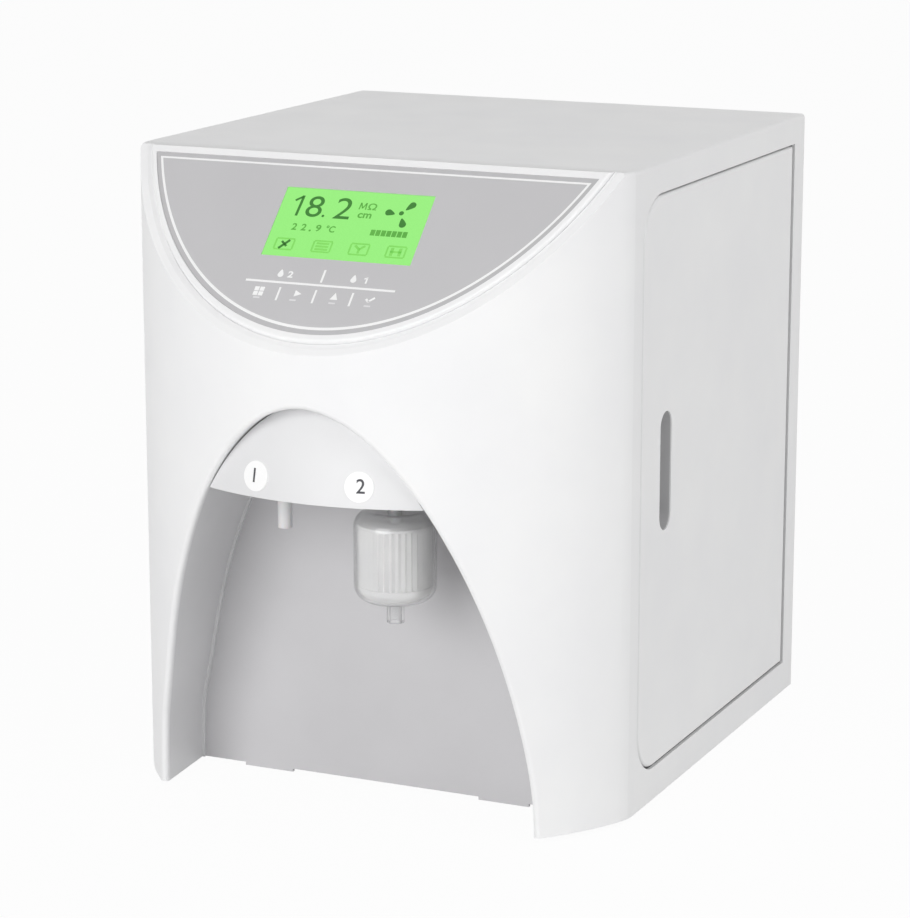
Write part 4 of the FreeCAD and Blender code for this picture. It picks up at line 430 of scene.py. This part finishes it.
def disc(bm, across, down, radius, segments=24):
    """Round dot on the face."""
    made = bmesh.ops.create_circle(bm, cap_ends=True, segments=segments, radius=radius / 1000)["verts"]
    bmesh.ops.translate(bm, verts=made, vec=(across / 1000, -down / 1000, 0))
    return made


def drop(bm, across, down, radius, height=1.9, taper=0.55):
    """Water drop: a dot drawn out to a point above, as high as so many radii."""
    for vert in disc(bm, across, down, radius, segments=28):
        rise = (vert.co.y * 1000 + down) / radius
        if rise > 0:
            side = vert.co.x * 1000 - across
            vert.co.x = (across + side * (1 - taper * rise)) / 1000
            vert.co.y = (rise * radius * height - down) / 1000


letter("caption_two", "2", (-29.2, -25.4, 94.9, 100.0), film_top, white_print, bold=0.03)
bm = bmesh.new()
for across in (-34.4, 17.8):
    drop(bm, across, drop_row, radius=2.1)
stroke(bm, (27.0, 94.9), (27.0, 100.0), width=1.2)
stroke(bm, (25.2, 96.6), (27.1, 95.2), width=1.0)
print_layer("caption_drops", bm, film_top, white_print)

# ------------------------------------------------------------ screen
# Lit liquid crystal screen behind a clear window: even green light, a faint grid of
# dots, dark figures, and unlit marks that show as a slightly darker green.

screen_glow = 0.94
ink_glow = 0.36
dot_pitch = 0.00083
dot_gap = 0.00006
screen_top = 1.31
figure_row = (34.4, 51.2)
warm_row = (57.0, 62.4)
level_row = 60.1
level_start = 18.5
level_step = 3.8
sign_columns = (-40.4, -13.2, 13.4, 39.6)
sign_row = 73.9

screen_light = bpy.data.materials.new("green_screen")
screen_light.use_nodes = True
set_sockets(screen_light, {"Base Color": (0.02, 0.05, 0.015, 1), "Roughness": 0.3,
                           "Emission Strength": screen_glow})
tree = screen_light.node_tree
place = tree.nodes.new("ShaderNodeTexCoord")
turn = tree.nodes.new("ShaderNodeMapping")
turn.inputs["Rotation"].default_value = (-face_lean, 0, 0)
dots = tree.nodes.new("ShaderNodeTexBrick")
dots.offset = 0.0
dots.inputs["Scale"].default_value = 1.0
dots.inputs["Brick Width"].default_value = dot_pitch
dots.inputs["Row Height"].default_value = dot_pitch
dots.inputs["Mortar Size"].default_value = dot_gap
dots.inputs["Color1"].default_value = linear((146, 236, 118))
dots.inputs["Color2"].default_value = linear((149, 239, 121))
dots.inputs["Mortar"].default_value = linear((140, 229, 111))
tree.links.new(place.outputs["Object"], turn.inputs["Vector"])
tree.links.new(turn.outputs["Vector"], dots.inputs["Vector"])
tree.links.new(dots.outputs["Color"], tree.nodes["Principled BSDF"].inputs["Emission Color"])
dress(screen_light, "screen_glass")


def segment_ink(name, dark, light):
    """Darkened liquid crystal: the backlight still shows through a little."""
    material = finish(name, dark, light, (0.3, 0.36), cloud_scale=60.0, grain=2500.0, depth=0.000002)
    tree = material.node_tree
    shown = tree.nodes["Principled BSDF"].inputs["Emission Color"]
    tree.links.new(tree.nodes["Mix"].outputs["Result"], shown)
    set_sockets(material, {"Emission Strength": ink_glow})
    return material


def screen_layer(name, bm, material, lift=0.0):
    """Marks drawn on the screen."""
    print_layer(name, bm, screen_top + lift, material)


def screen_letter(name, words, left, right, row, material, bold=0.0):
    """Figures on the screen, between two sides and in a row of its own height."""
    letter(name, words, (left, right, *row), screen_top, material, bold)


dark_ink = segment_ink("dark_segments", (30, 100, 12), (38, 110, 18))
mid_ink = segment_ink("half_lit_segments", (70, 146, 44), (78, 154, 50))
faint_ink = segment_ink("unlit_segments", (110, 190, 78), (116, 196, 84))

screen_letter("figure_eight", "8", -34.6, -23.1, figure_row, dark_ink)
screen_letter("figure_two", "2", -14.0, -2.2, figure_row, dark_ink)
screen_letter("unit_foot", "cm", 3.4, 13.2, (45.4, 49.4), mid_ink, bold=0.025)
for name, words, left, right in (("warm_two", "2", -39.8, -36.2), ("warm_two_again", "2", -33.0, -29.4),
                                 ("warm_nine", "9", -22.6, -18.8), ("warm_unit", "\u00b0C", -15.2, -8.6)):
    screen_letter(name, words, left, right, warm_row, mid_ink, bold=0.025)
screen_letter("unit_top", "\u03a9", 8.6, 14.8, (37.2, 42.6), mid_ink, bold=0.02)

bm = bmesh.new()
for start, end in (((2.7, 42.6), (3.1, 37.2)), ((3.1, 37.4), (4.9, 41.6)),
                   ((4.9, 41.6), (6.9, 37.4)), ((6.9, 37.2), (7.3, 42.6))):
    stroke(bm, start, end, width=0.9)
screen_layer("unit_mega", bm, mid_ink)

bm = bmesh.new()
stroke(bm, (-39.6, 34.6), (-40.2, 51.0), width=1.9)
stroke(bm, (-44.6, 38.9), (-39.8, 35.4), width=1.7)
disc(bm, -20.9, 49.8, radius=1.0)
screen_layer("figure_one", bm, dark_ink)


def blade(bm, tip, end, radius, taper=0.5):
    """Fan blade: a round end drawn out to a narrow tip near the hub."""
    heading = Vector((tip[0] - end[0], end[1] - tip[1], 0)).normalized()
    length = math.dist(tip, end) / 1000
    middle = Vector((end[0], -end[1], 0)) / 1000
    for vert in disc(bm, *end, radius, segments=28):
        along = (vert.co - middle).dot(heading) * 1000 / radius
        if along > 0:
            side = vert.co - middle - heading * along * radius / 1000
            vert.co = middle + heading * along * length + side * (1 - taper * along)


bm = bmesh.new()
disc(bm, 33.4, 43.4, radius=1.7)
for tip, end in (((29.0, 44.4), (24.4, 43.4)), ((35.6, 40.8), (39.2, 36.6)), ((35.0, 47.4), (37.0, 52.2))):
    blade(bm, tip, end, radius=2.5)
screen_layer("pump_mark", bm, dark_ink)

bm = bmesh.new()
disc(bm, -26.2, 62.0, radius=0.8)
for step in range(7):
    bar(bm, level_start + step * level_step, level_row, wide=3.2, tall=4.6)
screen_layer("level_bars", bm, mid_ink)

bm = bmesh.new()
stroke(bm, (-43.6, 77.6), (-37.2, 70.6), width=1.9)
stroke(bm, (-42.8, 71.8), (-38.4, 75.6), width=1.6)
screen_layer("tool_mark", bm, dark_ink, lift=0.03)

bm = bmesh.new()
for column in sign_columns:
    for away in (-4.3, 4.3):
        bar(bm, column, sign_row + away, wide=12.8, tall=1.2)
    for away in (-6.5, 6.5):
        bar(bm, column + away, sign_row, wide=1.2, tall=7.8)
for away in (-2.3, 0, 2.3):
    bar(bm, sign_columns[1], sign_row + away, wide=9.2, tall=1.6)
stroke(bm, (9.8, 71.0), (13.4, 74.0), width=1.7)
stroke(bm, (13.4, 74.0), (17.0, 71.0), width=1.7)
bar(bm, sign_columns[2], 75.4, wide=1.6, tall=3.6)
for across in (36.6, 42.4):
    bar(bm, across, sign_row, wide=2.2, tall=6.2)
bar(bm, sign_columns[3], sign_row, wide=8.0, tall=1.4)
screen_layer("status_marks", bm, faint_ink)

# ------------------------------------------------------------ stickers on the hood
# Two round white vinyl stickers, each printed with the number of its outlet.  They are
# pressed onto the hood, whose face is bowed from side to side and leans back as it rises.

# The hood's face is bowed round an upright line at bow_centre.  It draws in with its height,
# evenly by hood_lean and then faster by hood_curl.
hood_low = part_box("outlet_hood")[0]
bow_centre = -0.041
hood_lean = 0.11357
hood_curl = 2.092
sticker_low, sticker_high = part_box("outlet_labels")
sticker_side = 0.038
sticker_reach = 0.1895
print_out = 0.00052

sticker_vinyl = finish("white_vinyl", (251, 251, 251), (254, 254, 254), (0.4, 0.5),
                       grain=1500.0, depth=0.000004)
dress(sticker_vinyl, "outlet_labels")
black_print = finish("dark_print", (52, 52, 58), (64, 64, 70), (0.5, 0.6),
                     grain=1500.0, depth=0.000003)


def hood_reach(up):
    """Distance of the hood's face from the middle of its bow, by the height over its foot."""
    return bow_centre - hood_low.y - hood_lean * up - hood_curl * up ** 2


def sticker_number(name, words, side):
    """Number wrapped on the hood's face, set upright on its sticker."""
    bm = set_type(words, size=0.013, bold=0.0001, depth=0.00002)
    across = side * sticker_side
    middle = (sticker_low.z + sticker_high.z) / 2
    around = math.atan2(across, math.sqrt(sticker_reach ** 2 - across ** 2))
    for vert in bm.verts:
        height = middle + vert.co.y
        reach = hood_reach(height - hood_low.z) + print_out + vert.co.z
        angle = around + vert.co.x / sticker_reach
        vert.co = Vector((reach * math.sin(angle), bow_centre - reach * math.cos(angle), height))
    add_piece(name, bm, black_print)


sticker_number("sticker_one", "1", -1)
sticker_number("sticker_two", "2", 1)

# ------------------------------------------------------------ outlets and final filter
# The plain outlet and the filter's spigot are natural polypropylene.  The final filter
# is a welded clear capsule round a pleated membrane, turned onto the spigot.

natural_plastic = finish("natural_plastic", (222, 222, 223), (228, 228, 229), (0.3, 0.4),
                         grain=1500.0, depth=0.000006)
set_sockets(natural_plastic, {"Subsurface Weight": 0.15, "Subsurface Scale": 0.003})
dress(natural_plastic, "ro_nozzle", "filter_spigot")

capsule = finish("clear_capsule", (242, 242, 243), (247, 247, 247), (0.19, 0.24),
                 cloud_scale=40.0, grain=160.0, depth=0.000006)
set_sockets(capsule, {"Transmission Weight": 0.84, "IOR": 1.22,
                      "Coat Weight": 0.8, "Coat Roughness": 0.14})
dress(capsule, "final_filter_shell")
membrane = finish("pleated_membrane", (240, 240, 239), (246, 246, 245), (0.6, 0.7),
                  cloud_scale=80.0, grain=900.0, depth=0.000006)
dress(membrane, "final_filter_core")

# ------------------------------------------------------------ door fittings
# A finger cup pressed in from behind and a frame that the door closes against, both moulded, with steel
# hinge pins and strikers and sintered ferrite magnets. The frame's dark grey is painted shade in the
# door's gap.

# The finger cup is coloured a light grey, a little darker than the door.
cup_plastic = finish("grey_cup", (198, 198, 199), (204, 204, 205), (0.4, 0.5),
                     grain=1200.0, depth=0.00001)
dress(cup_plastic, "door_pull")
# Dark grey standing in for the shade deep in the door's gap: painted shade on the real frame.
gap_shaded_frame_plastic = finish("grey_frame_painted_gap_shade", (128, 128, 130), (134, 134, 136), (0.5, 0.6),
                       grain=1200.0, depth=0.00001)
dress(gap_shaded_frame_plastic, "door_frame")
plated_steel = finish("plated_steel", (176, 177, 180), (190, 191, 194), (0.28, 0.4),
                      cloud_scale=90.0, grain=1800.0, depth=0.00001, metal=1.0)
dress(plated_steel, "hinge_pins", "door_strikers")
ferrite = finish("ferrite", (52, 52, 54), (62, 62, 64), (0.5, 0.62),
                 cloud_scale=120.0, grain=2200.0, depth=0.00002)
dress(ferrite, "door_magnets")

# ------------------------------------------------------------ screws and key domes
# Plated steel screws for the cover, the base plate and the rear panel, and the four
# pressed steel domes under the film that snap when a key is pushed.

dress(plated_steel, "cover_screws", "base_screws", "rear_screws", "key_domes")

# ------------------------------------------------------------ cartridges and head block
# Sealed white polypropylene cartridges that turn a quarter turn into the head block,
# steadied by black spring cradles on the service wall.  The posts that are welded inside
# the front cover have the same plain white finish.

cartridge_plastic = finish("cartridge_plastic", (233, 234, 236), (240, 241, 242), (0.34, 0.42),
                           grain=1100.0, depth=0.000012)
dress(cartridge_plastic, "sediment_cartridge", "carbon_cartridge", "membrane_cartridge",
      "polishing_cartridge", "filter_manifold", "cover_posts")
black_nylon = finish("black_nylon", (34, 34, 36), (44, 44, 46), (0.42, 0.55),
                     grain=1400.0, depth=0.00002)
dress(black_nylon, "cartridge_clips")

# ------------------------------------------------------------ inner sheet and boxes
# Zinc-plated steel sheet with its cloudy spangle: the base plate and service wall that the
# works stand on, the screen's frame, and the vented box of the power supply.

zinc = finish("zinc_plate", (178, 182, 186), (205, 208, 210), (0.34, 0.52),
              cloud_scale=110.0, grain=500.0, depth=0.00001, metal=1.0)
dress(zinc, "base_plate", "service_wall", "display_module", "power_supply")

# ------------------------------------------------------------ pump
# An enamelled motor in the saddle of a zinc-plated plate, with a black nylon diaphragm
# head.  Four rubber buffers carry the plate on the base.

enamel = finish("black_enamel", (28, 28, 30), (38, 38, 40), (0.25, 0.36),
                grain=800.0, depth=0.00003)
dress(enamel, "pump_motor")
dress(black_nylon, "pump_head")
dress(zinc, "pump_plate")
rubber = finish("black_rubber", (30, 30, 31), (42, 42, 43), (0.7, 0.85),
                cloud_scale=90.0, grain=1500.0, depth=0.00004)
dress(rubber, "pump_mounts")

# ------------------------------------------------------------ ultraviolet chamber
# Electropolished stainless tube closed by black nylon caps, held on the service wall by
# two open steel clips.

stainless = finish("stainless_tube", (188, 190, 192), (204, 205, 206), (0.16, 0.26),
                   cloud_scale=30.0, grain=2600.0, depth=0.000006, metal=1.0)
dress(stainless, "uv_reactor")
dress(black_nylon, "uv_caps")
dress(plated_steel, "uv_clips")

# ------------------------------------------------------------ valves, switch, flow cell and hoses
# Pale blue moulded valves, a black pressure switch and a white conductivity cell, all on
# the service wall.  Natural polyethylene hose runs from the rear ports through the
# cartridges and the chamber to the outlets.

blue_plastic = finish("pale_blue_plastic", (176, 200, 220), (186, 208, 226), (0.3, 0.4),
                      grain=1200.0, depth=0.00001)
dress(blue_plastic, "solenoid_valves")
dress(black_nylon, "pressure_switch")
dress(cartridge_plastic, "conductivity_cell")
natural_tube = finish("natural_tube", (224, 228, 230), (234, 237, 238), (0.26, 0.36),
                      grain=900.0, depth=0.00001)
dress(natural_tube, "process_tubing")

# ------------------------------------------------------------ circuit board
# Glass-fibre laminate under green solder resist, held off the bulkhead's inner side by
# four plated steel standoffs.

board_resist = finish("board_resist", (24, 92, 54), (34, 108, 64), (0.3, 0.42),
                      cloud_scale=160.0, grain=900.0, depth=0.00002)
dress(board_resist, "control_board")
dress(plated_steel, "board_standoffs")

# ------------------------------------------------------------ rear fittings
# Black mains inlet moulding with its plated blades, fuse drawer and rocker, and white
# acetal push-in tube ports, each held in the rear panel by its nut.

inlet_plastic = finish("black_inlet", (26, 26, 28), (34, 34, 36), (0.34, 0.46),
                       grain=1500.0, depth=0.000012)
dress(inlet_plastic, "power_inlet", "fuse_drawer", "power_rocker")
dress(plated_steel, "inlet_blades")
port_plastic = finish("white_acetal", (236, 236, 234), (243, 243, 241), (0.3, 0.4),
                      grain=1200.0, depth=0.00001)
dress(port_plastic, "bulkhead_ports", "port_nuts")

# ------------------------------------------------------------ feet
# Four moulded feet of soft black rubber, each plugged into the base plate.  They carry
# the whole unit and keep it from sliding on the bench.

dress(rubber, "rubber_feet")
